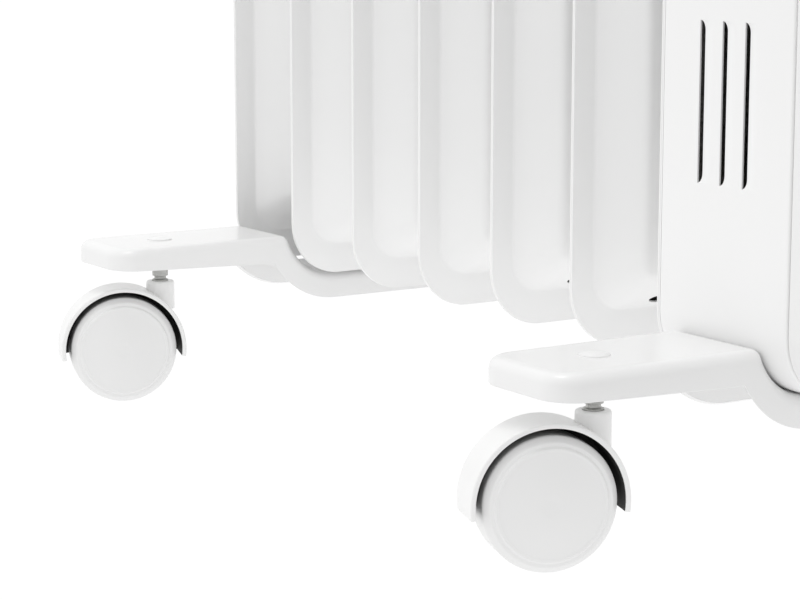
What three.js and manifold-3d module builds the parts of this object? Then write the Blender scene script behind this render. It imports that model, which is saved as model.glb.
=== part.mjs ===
// Oil filled radiator heater on castors, in millimetres.
// +X runs along the stack of fins towards the control housing, +Y across it, +Z up.
// The origin is on the floor, under the middle of the heater.

import * as THREE from 'three';
import Module from 'manifold-3d';
import { mergeVertices } from 'three/addons/utils/BufferGeometryUtils.js';

// ---------- driving dimensions ----------

const SHEET_GAP = 0.1; // between the two sheets of a fin
const CLEAR = 0.3; // between pieces that touch

const FIN_COUNT = 7;
const FIN_PITCH = 44.5;
const FIN_WIDTH = 140;
const FIN_BOTTOM = 45.4;
const FIN_TOP = 596;
const CORNER_RADIUS = 20;
const CORNER_STEPS = 4;
const FIN_SHEET = 0.6;
const RIM_SIDE = 8.4; // flat welded rim round a fin
const RIM_BOTTOM = 11.4;
const PRESS_DEPTH = 12.6; // how far a fin's panel stands out from its weld plane
const PANEL_CORNER = 6;

const HEADER_LOW = 107; // heights of the two oil headers
const HEADER_HIGH = 540;
const NECK_OUTER = 15;
const NECK_BORE = 14;
const NECK_SIDES = 10;

const HOUSING_SEAT = 1.0; // weld plane of the last fin to the housing's rear edge
const HOUSING_DEPTH = 56.5;
const HOUSING_SHEET = 0.8;
const LOUVRE_COUNT = 3;
const LOUVRE_FIRST = 17.6; // from the housing's rear edge
const LOUVRE_PITCH = 9.9;
const LOUVRE_OPENING = 2.2;
const LOUVRE_BOTTOM = 105.7;
const LOUVRE_LENGTH = 47.9;

const SHIELD_OFFSET = 16; // heat shield, from the last fin's weld plane
const SHIELD_SHEET = 0.8;

const COVER_SEAM = 0.4;
const COVER_DEPTH = 27;
const COVER_ROUND = 10;
const COVER_WALL = 2.2;

const PANEL_WIDTH = 92;
const PANEL_BOTTOM = 462;
const PANEL_TOP = 574;
const PANEL_THICK = 2.5;
const KNOB_HEIGHT_Z = 496;
const KNOB_RADIUS = 20;
const KNOB_DEPTH = 14;
const SPINDLE_RADIUS = 3;
const SWITCH_Z = 540;
const SWITCH_WIDTH = 62;
const SWITCH_TALL = 20;
const ROCKER_WIDTH = 24;
const ROCKER_TALL = 13.6;
const ROCKER_TILT = 6; // degrees either side of level
const PILOT_Z = 563;
const PILOT_RADIUS = 4;
const GLAND_Z = 92;

const FOOT_WIDTH = 40.5;
const FOOT_REACH = 143; // heater's middle to the tip of a foot
const FOOT_TOP = 60.5;
const FOOT_FLANGE = 10; // depth of the pressed foot's side flanges
const FOOT_TAPER = 2; // how much shallower the flanges are at the tips
const FOOT_SHEET = 1.6;
const FOOT_TIP_RADIUS = 10;
const FOOT_BEND = 3.5;
const SADDLE_STEPS = 5;
const FRONT_FOOT_OFFSET = 27; // housing's rear edge to the middle of the front foot

const STEM_Y = 115.8;
const STEM_RADIUS = 3;
const WHEEL_RADIUS = 20;
const WHEEL_FACE = 11.2; // wheel's outer face, from the stem's axis
const WHEEL_WIDTH = 14.6;
const WHEEL_SIDES = 24;
const CASTOR_TRAIL = 15.4;
const CASTOR_TURN = 19; // degrees that each castor is swivelled at rest
const HOOD_OUTER = 23.7;
const HOOD_INNER = 22.4;
const HOOD_BACK = -6.3; // hood's closed side and open side, from the stem's axis
const HOOD_FRONT = 10.7;
const HOOD_WEB = 2;
const HOOD_END_ANGLE = 8; // degrees below level at which the hood's rim stops
const NECK_RADIUS = 5.35;
const NECK_TOP = 46;
const AXLE_RADIUS = 2;

const HANDLE_LENGTH = 98;
const HANDLE_WIDTH = 26;
const HANDLE_BASE = 3;
const HANDLE_FINGER_GAP = 26;
const HANDLE_GRIP = 11;

const U_BOLT_RADIUS = 2.5;
const U_BOLT_BEND = 18;
const SCREW_RADIUS = 2.5;
const SCREW_Y = 32;

// ---------- places along X ----------

const STACK_LENGTH = (FIN_COUNT - 1) * FIN_PITCH;
const OVERALL_LENGTH =
  PRESS_DEPTH + STACK_LENGTH + HOUSING_SEAT + HOUSING_DEPTH + COVER_SEAM + COVER_DEPTH + KNOB_DEPTH;
const FIRST_FIN_X = PRESS_DEPTH - OVERALL_LENGTH / 2;
const LAST_FIN_X = FIRST_FIN_X + STACK_LENGTH;
const HOUSING_X = LAST_FIN_X + HOUSING_SEAT;
const COVER_X = HOUSING_X + HOUSING_DEPTH + COVER_SEAM;
const FACE_X = COVER_X + COVER_DEPTH;
const REAR_FOOT_X = FIRST_FIN_X + FIN_PITCH / 2;
const FRONT_FOOT_X = HOUSING_X + FRONT_FOOT_OFFSET;

const finX = (index) => FIRST_FIN_X + index * FIN_PITCH;

// ---------- materials ----------

const material = (color, roughness, metalness) =>
  new THREE.MeshStandardMaterial({ color, roughness, metalness });

const whitePaint = material(0xf0f0ee, 0.35, 0.0);
const whitePlastic = material(0xebebe9, 0.45, 0.0);
const wheelPlastic = material(0xdfdfdd, 0.5, 0.0);
const greyPlastic = material(0x8a8d90, 0.5, 0.0);
const brightSteel = material(0xb8b8b6, 0.25, 1.0);
const dullSteel = material(0x9a9a98, 0.45, 1.0);
const blackPlastic = material(0x1c1c1e, 0.55, 0.0);
const amberLens = material(0xd9822b, 0.2, 0.0);
const brass = material(0xb5923e, 0.35, 1.0);

// ---------- solids ----------

const wasm = await Module();
wasm.setup();

const AXIS_X = new THREE.Vector3(1, 0, 0);
const AXIS_Y = new THREE.Vector3(0, 1, 0);
const AXIS_Z = new THREE.Vector3(0, 0, 1);
const radians = THREE.MathUtils.degToRad;

// Six times the volume inside a triangle list; negative when its faces point inwards.
function signedVolume(position, triangles) {
  const a = new THREE.Vector3();
  const b = new THREE.Vector3();
  const c = new THREE.Vector3();
  let total = 0;
  for (const [i, j, k] of triangles) {
    a.fromBufferAttribute(position, i);
    b.fromBufferAttribute(position, j);
    c.fromBufferAttribute(position, k);
    total += a.dot(b.cross(c));
  }
  return total;
}

// A closed geometry as a manifold solid, with its faces pointing out.
function solid(geometry) {
  const bare = geometry.clone();
  bare.deleteAttribute('normal');
  bare.deleteAttribute('uv');
  const merged = mergeVertices(bare, 1e-4);
  const triangles = [];
  for (let t = 0; t < merged.index.count; t += 3) {
    const corners = [0, 1, 2].map((n) => merged.index.getX(t + n));
    if (new Set(corners).size === 3) triangles.push(corners);
  }
  const inwards = signedVolume(merged.attributes.position, triangles) < 0;
  const ordered = inwards ? triangles.map(([i, j, k]) => [i, k, j]) : triangles;
  const mesh = new wasm.Mesh({
    numProp: 3,
    vertProperties: new Float32Array(merged.attributes.position.array),
    triVerts: new Uint32Array(ordered.flat()),
  });
  return new wasm.Manifold(mesh);
}

function toGeometry(body) {
  const mesh = body.getMesh();
  const geometry = new THREE.BufferGeometry();
  geometry.setAttribute('position', new THREE.BufferAttribute(mesh.vertProperties, 3));
  geometry.setIndex(new THREE.BufferAttribute(mesh.triVerts, 1));
  geometry.computeVertexNormals();
  return geometry;
}

const joined = (first, ...rest) => rest.reduce((body, other) => body.add(other), first);
const cut = (first, ...rest) => rest.reduce((body, other) => body.subtract(other), first);

function box(x0, x1, y0, y1, z0, z1) {
  const geometry = new THREE.BoxGeometry(x1 - x0, y1 - y0, z1 - z0);
  geometry.translate((x0 + x1) / 2, (y0 + y1) / 2, (z0 + z1) / 2);
  return solid(geometry);
}

// A round bar along +X from x0 to x1, on the line through (y, z).
function barX(radius, x0, x1, y, z, sides = 16) {
  const geometry = new THREE.CylinderGeometry(radius, radius, x1 - x0, sides);
  geometry.rotateZ(-Math.PI / 2);
  geometry.translate((x0 + x1) / 2, y, z);
  return solid(geometry);
}

// A round bar along +Z from z0 to z1, on the line through (x, y).
function barZ(radius, z0, z1, x, y, sides = 16) {
  const geometry = new THREE.CylinderGeometry(radius, radius, z1 - z0, sides);
  geometry.rotateX(Math.PI / 2);
  geometry.translate(x, y, (z0 + z1) / 2);
  return solid(geometry);
}

// Profile points are [distance from the axis, distance along it].
function turnedAboutX(profile, sides) {
  const points = profile.map(([r, along]) => new THREE.Vector2(r, along));
  const geometry = new THREE.LatheGeometry(points, sides);
  geometry.rotateZ(-Math.PI / 2);
  return solid(geometry);
}

function turnedAboutZ(profile, sides) {
  const points = profile.map(([r, along]) => new THREE.Vector2(r, along));
  const geometry = new THREE.LatheGeometry(points, sides);
  geometry.rotateX(Math.PI / 2);
  return solid(geometry);
}

function extruded(points, depth, holes = []) {
  const shape = new THREE.Shape(points.map(([u, v]) => new THREE.Vector2(u, v)));
  for (const hole of holes) {
    shape.holes.push(new THREE.Path(hole.map(([u, v]) => new THREE.Vector2(u, v))));
  }
  return new THREE.ExtrudeGeometry(shape, { depth, bevelEnabled: false, curveSegments: 8 });
}

// An outline of [y, z] points, extruded along X.
function prismX(points, x0, x1, holes = []) {
  const geometry = extruded(points, x1 - x0, holes);
  geometry.applyMatrix4(new THREE.Matrix4().makeBasis(AXIS_Y, AXIS_Z, AXIS_X));
  geometry.translate(x0, 0, 0);
  return solid(geometry);
}

// An outline of [x, y] points, extruded along Z.
function prismZ(points, z0, z1) {
  const geometry = extruded(points, z1 - z0);
  geometry.translate(0, 0, z0);
  return solid(geometry);
}

// An outline of [z, x] points, extruded along Y.
function prismY(points, y0, y1) {
  const geometry = extruded(points, y1 - y0);
  geometry.applyMatrix4(new THREE.Matrix4().makeBasis(AXIS_Z, AXIS_X, AXIS_Y));
  geometry.translate(0, y0, 0);
  return solid(geometry);
}

// Points of an arc about (u, v), with its angles in degrees, ends included.
function arc(u, v, radius, from, to, steps) {
  const points = [];
  for (let i = 0; i <= steps; i += 1) {
    const angle = radians(from + ((to - from) * i) / steps);
    points.push([u + radius * Math.cos(angle), v + radius * Math.sin(angle)]);
  }
  return points;
}

function roundedBox(u0, u1, v0, v1, radius, steps = CORNER_STEPS) {
  return [
    ...arc(u1 - radius, v0 + radius, radius, -90, 0, steps),
    ...arc(u1 - radius, v1 - radius, radius, 0, 90, steps),
    ...arc(u0 + radius, v1 - radius, radius, 90, 180, steps),
    ...arc(u0 + radius, v0 + radius, radius, 180, 270, steps),
  ];
}

// The outline that the fins, the housing and the cover share, moved in by an inset.
function bodyOutline(inset, bottomInset = inset, radius = CORNER_RADIUS - inset) {
  const half = FIN_WIDTH / 2 - inset;
  return roundedBox(-half, half, FIN_BOTTOM + bottomInset, FIN_TOP - inset, radius);
}

// A closed skin over rings of points, each ring joined to the next. The ends are closed
// with flat faces, or with looped set the last ring joins the first.
function skinOver(rings, looped = false) {
  const count = rings[0].length;
  const spans = looped ? rings.length : rings.length - 1;
  const index = [];
  for (let ring = 0; ring < spans; ring += 1) {
    const other = (ring + 1) % rings.length;
    for (let i = 0; i < count; i += 1) {
      const next = (i + 1) % count;
      const a = ring * count + i;
      const b = ring * count + next;
      const c = other * count + next;
      const d = other * count + i;
      index.push(a, b, c, a, c, d);
    }
  }
  const last = spans * count;
  for (let i = 1; i < count - 1 && !looped; i += 1) {
    index.push(0, i + 1, i);
    index.push(last, last + i, last + i + 1);
  }
  const geometry = new THREE.BufferGeometry();
  geometry.setAttribute('position', new THREE.Float32BufferAttribute(rings.flat(2), 3));
  geometry.setIndex(index);
  return solid(geometry);
}

const ringAtX = ({ x, points }) => points.map(([y, z]) => [x, y, z]);

// Joins loops of [y, z] points, each at its own x, into one closed skin with flat ends.
const loftX = (loops) => skinOver(loops.map(ringAtX));

// A closed ring section swept round a profile of loops: the last loop joins the first.
const ringX = (loops) => skinOver(loops.map(ringAtX), true);

// A round bar bent along straight runs and arcs that lie in one plane.
function bentBar(points, radius, sides, planeNormal) {
  const rings = points.map((point, i) => {
    const before = points[Math.max(i - 1, 0)];
    const after = points[Math.min(i + 1, points.length - 1)];
    const along = after.clone().sub(before).normalize();
    const side = new THREE.Vector3().crossVectors(planeNormal, along).normalize();
    const ring = [];
    for (let s = 0; s < sides; s += 1) {
      const angle = (2 * Math.PI * s) / sides;
      const spot = point.clone();
      spot.addScaledVector(side, radius * Math.cos(angle));
      spot.addScaledVector(planeNormal, radius * Math.sin(angle));
      ring.push(spot.toArray());
    }
    return ring;
  });
  return skinOver(rings);
}

const heater = new THREE.Group();

function addPart(parent, name, body, finish) {
  const mesh = new THREE.Mesh(toGeometry(body), finish.clone());
  mesh.name = name;
  parent.add(mesh);
  return mesh;
}

// ---------- radiator fins ----------

// One pressed sheet of a fin: flat welded rim, sloped wall, raised panel. side is +1 or -1.
function finSheet(plane, side) {
  const front = SHEET_GAP / 2 + FIN_SHEET;
  const back = SHEET_GAP / 2;
  const slope = PRESS_DEPTH - front;
  const wall = FIN_SHEET * Math.tan(radians(22.5));
  const loop = (offset, inset, bottomInset, radius) => ({
    x: plane + side * offset,
    points: bodyOutline(inset, bottomInset, radius),
  });
  const creaseRadius = CORNER_RADIUS - RIM_SIDE;
  return loftX([
    loop(PRESS_DEPTH, RIM_SIDE + slope, RIM_BOTTOM + slope, PANEL_CORNER),
    loop(front, RIM_SIDE, RIM_BOTTOM, creaseRadius),
    loop(front, 0, 0, CORNER_RADIUS),
    loop(back, 0, 0, CORNER_RADIUS),
    loop(back, RIM_SIDE + wall, RIM_BOTTOM + wall, creaseRadius - wall),
    loop(PRESS_DEPTH - FIN_SHEET, RIM_SIDE + slope + wall, RIM_BOTTOM + slope + wall, PANEL_CORNER - wall),
  ]);
}

function spanX(plane, side, near, far) {
  const ends = [plane + side * near, plane + side * far];
  return [Math.min(...ends), Math.max(...ends)];
}

// Adds the drawn neck that meets the next fin's neck half way across the gap.
function withNeck(sheet, plane, side, height) {
  const inner = PRESS_DEPTH - FIN_SHEET;
  const middle = FIN_PITCH / 2 - CLEAR / 2;
  const [x0, x1] = spanX(plane, side, inner, middle);
  const [b0, b1] = spanX(plane, side, inner - 1, middle + 1);
  const neck = barX(NECK_OUTER, x0, x1, 0, height, NECK_SIDES);
  const bore = barX(NECK_BORE, b0, b1, 0, height, NECK_SIDES);
  return sheet.add(neck).subtract(bore);
}

const BOSS_RADIUS = 17.7;
const PLUG_RADIUS = 7.7;

for (let index = 0; index < FIN_COUNT; index += 1) {
  const plane = finX(index);
  let rear = finSheet(plane, -1);
  let front = finSheet(plane, 1);
  for (const height of [HEADER_LOW, HEADER_HIGH]) {
    if (index > 0) rear = withNeck(rear, plane, -1, height);
    if (index < FIN_COUNT - 1) front = withNeck(front, plane, 1, height);
  }
  if (index === FIN_COUNT - 1) {
    const [x0, x1] = spanX(plane, 1, PRESS_DEPTH - 2, PRESS_DEPTH + 1);
    front = front.subtract(barX(BOSS_RADIUS + CLEAR, x0, x1, 0, HEADER_LOW));
    front = front.subtract(barX(PLUG_RADIUS + CLEAR, x0, x1, 0, HEADER_HIGH));
  }
  addPart(heater, `fin_${index + 1}_rear_sheet`, rear, whitePaint);
  addPart(heater, `fin_${index + 1}_front_sheet`, front, whitePaint);
}

// ---------- heating element and filler plug ----------

const PANEL_FACE_X = LAST_FIN_X + PRESS_DEPTH;
const BOSS_BORE = 13;
const BOSS_END = 6;
const ELEMENT_ROD = 4;
const ELEMENT_SPACING = 6;

const elementBoss = turnedAboutX(
  [
    [BOSS_BORE, -3],
    [BOSS_RADIUS, -3],
    [BOSS_RADIUS, CLEAR],
    [21, CLEAR],
    [21, CLEAR + 2],
    [BOSS_RADIUS, CLEAR + 2],
    [BOSS_RADIUS, BOSS_END],
    [BOSS_BORE, BOSS_END],
    [BOSS_BORE, -3],
  ],
  24,
).translate([PANEL_FACE_X, 0, HEADER_LOW]);
addPart(heater, 'element_boss', elementBoss, dullSteel);

function heatingElement() {
  const hexStart = PANEL_FACE_X + BOSS_END + CLEAR;
  const thread = barX(BOSS_BORE - CLEAR, PANEL_FACE_X - 5, hexStart + 1, 0, HEADER_LOW);
  const hexHead = barX(16, hexStart, hexStart + 8, 0, HEADER_LOW, 6);
  const startX = PANEL_FACE_X - 4;
  const bendX = FIRST_FIN_X + 4;
  const turn = arc(0, 0, ELEMENT_SPACING, 90, 270, 6);
  const path = [
    new THREE.Vector3(startX, ELEMENT_SPACING, HEADER_LOW),
    ...turn.map(([u, v]) => new THREE.Vector3(bendX + u, v, HEADER_LOW)),
    new THREE.Vector3(startX, -ELEMENT_SPACING, HEADER_LOW),
  ];
  const loop = bentBar(path, ELEMENT_ROD, 8, AXIS_Z);
  const pins = [-1, 1].map((side) =>
    barX(2, hexStart + 7, hexStart + 17, side * ELEMENT_SPACING, HEADER_LOW, 8),
  );
  return joined(thread, hexHead, loop, ...pins);
}
addPart(heater, 'heating_element', heatingElement(), brightSteel);

function fillerPlug() {
  const shank = barX(PLUG_RADIUS, PANEL_FACE_X - 4, PANEL_FACE_X + 1, 0, HEADER_HIGH, 12);
  const head = barX(10, PANEL_FACE_X + CLEAR, PANEL_FACE_X + 2.8, 0, HEADER_HIGH, 6);
  return shank.add(head);
}
addPart(heater, 'oil_filler_plug', fillerPlug(), dullSteel);

// ---------- feet ----------

// The foot's top line from tip to tip, moved down by a depth. It runs level to the
// fins, bends down, follows their rounded corner and passes under them.
const SADDLE_Y = FIN_WIDTH / 2 - CORNER_RADIUS;
const SADDLE_Z = FIN_BOTTOM + CORNER_RADIUS;
const SADDLE_RADIUS = CORNER_RADIUS + 0.5;

function footLine(reach, depth) {
  const level = FOOT_TOP - depth;
  const saddle = SADDLE_RADIUS + depth;
  const bend = FOOT_BEND - depth;
  const half = [[reach, depth > FOOT_BEND ? level + FOOT_TAPER : level]];
  if (bend > 0) {
    const drop = SADDLE_Z - (FOOT_TOP - FOOT_BEND);
    const across = Math.sqrt((SADDLE_RADIUS + FOOT_BEND) ** 2 - drop ** 2);
    const lean = THREE.MathUtils.radToDeg(Math.atan2(drop, across));
    half.push(...arc(SADDLE_Y + across, FOOT_TOP - FOOT_BEND, bend, 90, 180 - lean, 3));
    half.push(...arc(SADDLE_Y, SADDLE_Z, saddle, -lean, -90, SADDLE_STEPS).slice(1));
  } else {
    const lean = THREE.MathUtils.radToDeg(Math.asin((SADDLE_Z - level) / saddle));
    half.push(...arc(SADDLE_Y, SADDLE_Z, saddle, -lean, -90, SADDLE_STEPS));
  }
  const mirrored = half.map(([y, z]) => [-y, z]).reverse();
  return [...half, ...mirrored];
}

function footBody() {
  const half = FOOT_WIDTH / 2;
  const inner = half - FOOT_SHEET;
  const innerReach = FOOT_REACH - FOOT_SHEET;
  const outside = [...footLine(FOOT_REACH, 0), ...footLine(FOOT_REACH, FOOT_FLANGE).reverse()];
  const below = FIN_BOTTOM - 2 * FOOT_FLANGE;
  const inside = [...footLine(innerReach, FOOT_SHEET), [-innerReach, below], [innerReach, below]];
  const plan = roundedBox(-half, half, -FOOT_REACH, FOOT_REACH, FOOT_TIP_RADIUS);
  const innerPlan = roundedBox(-inner, inner, -innerReach, innerReach, FOOT_TIP_RADIUS - FOOT_SHEET);
  const skin = prismX(outside, -half, half).intersect(prismZ(plan, 0, FOOT_TOP + 1));
  const hollow = prismX(inside, -inner, inner).intersect(prismZ(innerPlan, 0, FOOT_TOP + 1));
  const stemHoles = [-1, 1].map((side) =>
    barZ(STEM_RADIUS + CLEAR, FOOT_TOP - 5, FOOT_TOP + 1, 0, side * STEM_Y, 12),
  );
  return cut(skin, hollow, ...stemHoles);
}

function footWithHoles(x, holeY, holeRadius) {
  const holes = [-1, 1].map((side) =>
    barZ(holeRadius, FIN_BOTTOM - 8, FIN_BOTTOM + 2, 0, side * holeY, 12),
  );
  return cut(footBody(), ...holes).translate([x, 0, 0]);
}

const SADDLE_TOP = FIN_BOTTOM - 0.5;
const SADDLE_UNDER = SADDLE_TOP - FOOT_SHEET;

const rearFoot = footWithHoles(REAR_FOOT_X, U_BOLT_BEND, U_BOLT_RADIUS + CLEAR);
const frontFoot = footWithHoles(FRONT_FOOT_X, SCREW_Y, SCREW_RADIUS + CLEAR);
addPart(heater, 'rear_foot_bracket', rearFoot, whitePaint);
addPart(heater, 'front_foot_bracket', frontFoot, whitePaint);

// The U-bolt hooks over the lower header and pulls the rear foot up against its cradle.
function uBolt() {
  const legEnd = SADDLE_UNDER - 11;
  const over = arc(0, HEADER_LOW, U_BOLT_BEND, 0, 180, 10);
  const path = [
    new THREE.Vector3(REAR_FOOT_X, U_BOLT_BEND, legEnd),
    ...over.map(([y, z]) => new THREE.Vector3(REAR_FOOT_X, y, z)),
    new THREE.Vector3(REAR_FOOT_X, -U_BOLT_BEND, legEnd),
  ];
  return bentBar(path, U_BOLT_RADIUS, 8, AXIS_X);
}
addPart(heater, 'rear_foot_u_bolt', uBolt(), brightSteel);

function wingNut(y) {
  const top = SADDLE_UNDER - CLEAR;
  const barrel = barZ(5, top - 6, top, REAR_FOOT_X, y, 12);
  const wings = [-1, 1].map((side) => {
    const near = REAR_FOOT_X + side * 3.5;
    const far = REAR_FOOT_X + side * 11;
    return box(Math.min(near, far), Math.max(near, far), y - 1, y + 1, top - 8, top - 1);
  });
  const bore = barZ(U_BOLT_RADIUS + CLEAR, top - 9, top + 1, REAR_FOOT_X, y, 12);
  return joined(barrel, ...wings).subtract(bore);
}
addPart(heater, 'rear_foot_wing_nut_left', wingNut(-U_BOLT_BEND), dullSteel);
addPart(heater, 'rear_foot_wing_nut_right', wingNut(U_BOLT_BEND), dullSteel);

function footCradle() {
  const post = box(REAR_FOOT_X - 6, REAR_FOOT_X + 6, -13, 13, SADDLE_TOP + CLEAR, HEADER_LOW - 8);
  const seat = barX(NECK_OUTER + CLEAR, REAR_FOOT_X - 7, REAR_FOOT_X + 7, 0, HEADER_LOW);
  return post.subtract(seat);
}
addPart(heater, 'rear_foot_cradle', footCradle(), dullSteel);

function footScrew(y) {
  const top = SADDLE_UNDER - CLEAR;
  const head = barZ(4.5, top - 3.2, top, FRONT_FOOT_X, y, 12);
  const shank = barZ(SCREW_RADIUS, top - 1, FIN_BOTTOM + 7, FRONT_FOOT_X, y, 12);
  return head.add(shank);
}
addPart(heater, 'front_foot_screw_left', footScrew(-SCREW_Y), dullSteel);
addPart(heater, 'front_foot_screw_right', footScrew(SCREW_Y), dullSteel);

function nutPlate() {
  const floor = FIN_BOTTOM + HOUSING_SHEET + CLEAR;
  const plate = box(FRONT_FOOT_X - 9, FRONT_FOOT_X + 9, -46, 46, floor, floor + 3);
  const holes = [-1, 1].map((side) =>
    barZ(SCREW_RADIUS + CLEAR, floor - 1, floor + 4, FRONT_FOOT_X, side * SCREW_Y, 12),
  );
  return cut(plate, ...holes);
}
addPart(heater, 'front_foot_nut_plate', nutPlate(), dullSteel);

// ---------- castors ----------

// A castor in its own frame: the stem on Z, the wheel trailing towards -Y, its face to +X.
function castorStem() {
  return turnedAboutZ(
    [
      [0, NECK_TOP - 5.4],
      [STEM_RADIUS, NECK_TOP - 5.4],
      [STEM_RADIUS, FOOT_TOP + CLEAR],
      [4.6, FOOT_TOP + CLEAR],
      [4.2, FOOT_TOP + CLEAR + 0.6],
      [2.4, FOOT_TOP + CLEAR + 1.2],
      [0, FOOT_TOP + CLEAR + 1.4],
    ],
    12,
  );
}

function castorHood() {
  const inside = HOOD_BACK + HOOD_WEB;
  const upper = arc(0, 0, HOOD_OUTER, -HOOD_END_ANGLE, 180 + HOOD_END_ANGLE, 20);
  const lower = [[-6, -7], [6, -7]];
  const outline = [...upper, ...lower];
  const fender = prismX(outline, HOOD_BACK, HOOD_FRONT);
  const wheelSpace = barX(HOOD_INNER, inside, HOOD_FRONT + 1, 0, 0, 32);
  const boss = barX(5, inside - 1, inside + 0.5, 0, 0, 12);
  const axleHole = barX(AXLE_RADIUS + CLEAR, HOOD_BACK - 1, inside + 3, 0, 0, 12);
  const shell = fender.translate([0, -CASTOR_TRAIL, WHEEL_RADIUS]);
  const neck = barZ(NECK_RADIUS, WHEEL_RADIUS + 10, NECK_TOP, 0, 0, 16);
  const socket = barZ(STEM_RADIUS + 0.2, NECK_TOP - 5.8, NECK_TOP + 1, 0, 0, 12);
  const toWheel = [0, -CASTOR_TRAIL, WHEEL_RADIUS];
  const hollow = joined(shell, neck).subtract(wheelSpace.translate(toWheel)).subtract(socket);
  return hollow.add(boss.translate(toWheel)).subtract(axleHole.translate(toWheel));
}

function castorAxle() {
  const start = HOOD_BACK + 0.2;
  return barX(AXLE_RADIUS, start, WHEEL_FACE - 4, -CASTOR_TRAIL, WHEEL_RADIUS, 12);
}

function castorWheel() {
  const back = WHEEL_FACE - WHEEL_WIDTH;
  const bore = AXLE_RADIUS + 0.25;
  const profile = [
    [bore, back],
    [WHEEL_RADIUS - 1.6, back],
    [WHEEL_RADIUS, back + 1.6],
    [WHEEL_RADIUS, WHEEL_FACE - 2.4],
    [WHEEL_RADIUS - 2.6, WHEEL_FACE - 0.2],
    [WHEEL_RADIUS - 3.4, WHEEL_FACE],
    [0, WHEEL_FACE],
    [0, WHEEL_FACE - 3.4],
    [bore, WHEEL_FACE - 3.4],
    [bore, back],
  ];
  return turnedAboutX(profile, WHEEL_SIDES).translate([0, -CASTOR_TRAIL, WHEEL_RADIUS]);
}

const castorPieces = [
  ['stem', castorStem(), brightSteel],
  ['hood', castorHood(), whitePlastic],
  ['axle', castorAxle(), brightSteel],
  ['wheel', castorWheel(), wheelPlastic],
];

for (const [end, x] of [['rear', REAR_FOOT_X], ['front', FRONT_FOOT_X]]) {
  for (const [hand, side] of [['left', -1], ['right', 1]]) {
    const castor = new THREE.Group();
    castor.position.set(x, side * STEM_Y, 0);
    castor.rotation.z = radians(side < 0 ? -CASTOR_TURN : 180 + CASTOR_TURN);
    for (const [piece, body, finish] of castorPieces) {
      addPart(castor, `castor_${end}_${hand}_${piece}`, body, finish);
    }
    heater.add(castor);
  }
}

// ---------- control housing ----------

function housingShell() {
  const outside = bodyOutline(0);
  const inside = bodyOutline(HOUSING_SHEET);
  const end = HOUSING_X + HOUSING_DEPTH;
  const band = ringX([
    { x: HOUSING_X, points: outside },
    { x: end, points: outside },
    { x: end, points: inside },
    { x: HOUSING_X, points: inside },
  ]);
  const slots = [];
  for (let n = 0; n < LOUVRE_COUNT; n += 1) {
    const x = HOUSING_X + LOUVRE_FIRST + n * LOUVRE_PITCH - LOUVRE_OPENING / 2;
    const top = LOUVRE_BOTTOM + LOUVRE_LENGTH;
    slots.push(box(x, x + LOUVRE_OPENING, -FIN_WIDTH, FIN_WIDTH, LOUVRE_BOTTOM, top));
  }
  const screwHoles = [-1, 1].map((side) =>
    barZ(SCREW_RADIUS + CLEAR, FIN_BOTTOM - 1, FIN_BOTTOM + 2, FRONT_FOOT_X, side * SCREW_Y, 12),
  );
  return cut(band, ...slots, ...screwHoles);
}
addPart(heater, 'control_housing', housingShell(), whitePaint);

function heatShield() {
  const x = LAST_FIN_X + SHIELD_OFFSET;
  const plate = prismX(bodyOutline(HOUSING_SHEET + CLEAR), x, x + SHIELD_SHEET);
  return plate.subtract(barX(BOSS_RADIUS + 1, x - 1, x + 2, 0, HEADER_LOW));
}
addPart(heater, 'heat_shield', heatShield(), dullSteel);

const SHIELD_FACE_X = LAST_FIN_X + SHIELD_OFFSET + SHIELD_SHEET + CLEAR;

function frontCover() {
  const straight = COVER_X + COVER_DEPTH - COVER_ROUND;
  const outer = [{ x: COVER_X, points: bodyOutline(0) }];
  const inner = [{ x: COVER_X, points: bodyOutline(COVER_WALL) }];
  for (let step = 0; step <= 4; step += 1) {
    const angle = (Math.PI / 2) * (step / 4);
    const inset = COVER_ROUND * (1 - Math.cos(angle));
    const x = straight + COVER_ROUND * Math.sin(angle);
    outer.push({ x, points: bodyOutline(inset) });
    const innerInset = COVER_WALL + (COVER_ROUND - COVER_WALL) * (1 - Math.cos(angle));
    const innerX = straight + (COVER_ROUND - COVER_WALL) * Math.sin(angle);
    inner.push({ x: innerX, points: bodyOutline(innerInset) });
  }
  const shell = loftX(outer).subtract(
    loftX([{ x: COVER_X - 1, points: bodyOutline(COVER_WALL) }, ...inner]),
  );
  const half = PANEL_WIDTH / 2 + CLEAR;
  const opening = roundedBox(-half, half, PANEL_BOTTOM - CLEAR, PANEL_TOP + CLEAR, 8, 4);
  const window = prismX(opening, FACE_X - 5, FACE_X + 1);
  return cut(shell, window, barX(9 + CLEAR, FACE_X - 5, FACE_X + 1, 0, GLAND_Z, 16));
}

addPart(heater, 'front_cover', frontCover(), whitePlastic);

const SWITCH_HALF = SWITCH_WIDTH / 2;

function controlPanel() {
  const half = PANEL_WIDTH / 2;
  const front = FACE_X - 0.6;
  const back = front - PANEL_THICK;
  const plate = prismX(roundedBox(-half, half, PANEL_BOTTOM, PANEL_TOP, 7.7, 4), back, front);
  const spindleHole = barX(SPINDLE_RADIUS + 0.6, back - 1, front + 1, 0, KNOB_HEIGHT_Z, 12);
  const pilotHole = barX(PILOT_RADIUS + CLEAR, back - 1, front + 1, 0, PILOT_Z, 16);
  const wide = SWITCH_HALF + CLEAR;
  const tall = SWITCH_TALL / 2 + CLEAR;
  const switchHole = box(back - 1, front + 1, -wide, wide, SWITCH_Z - tall, SWITCH_Z + tall);
  return cut(plate, spindleHole, pilotHole, switchHole);
}
addPart(heater, 'control_panel', controlPanel(), greyPlastic);

// ---------- thermostat ----------

const PANEL_BACK_X = FACE_X - 0.6 - PANEL_THICK;

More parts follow.
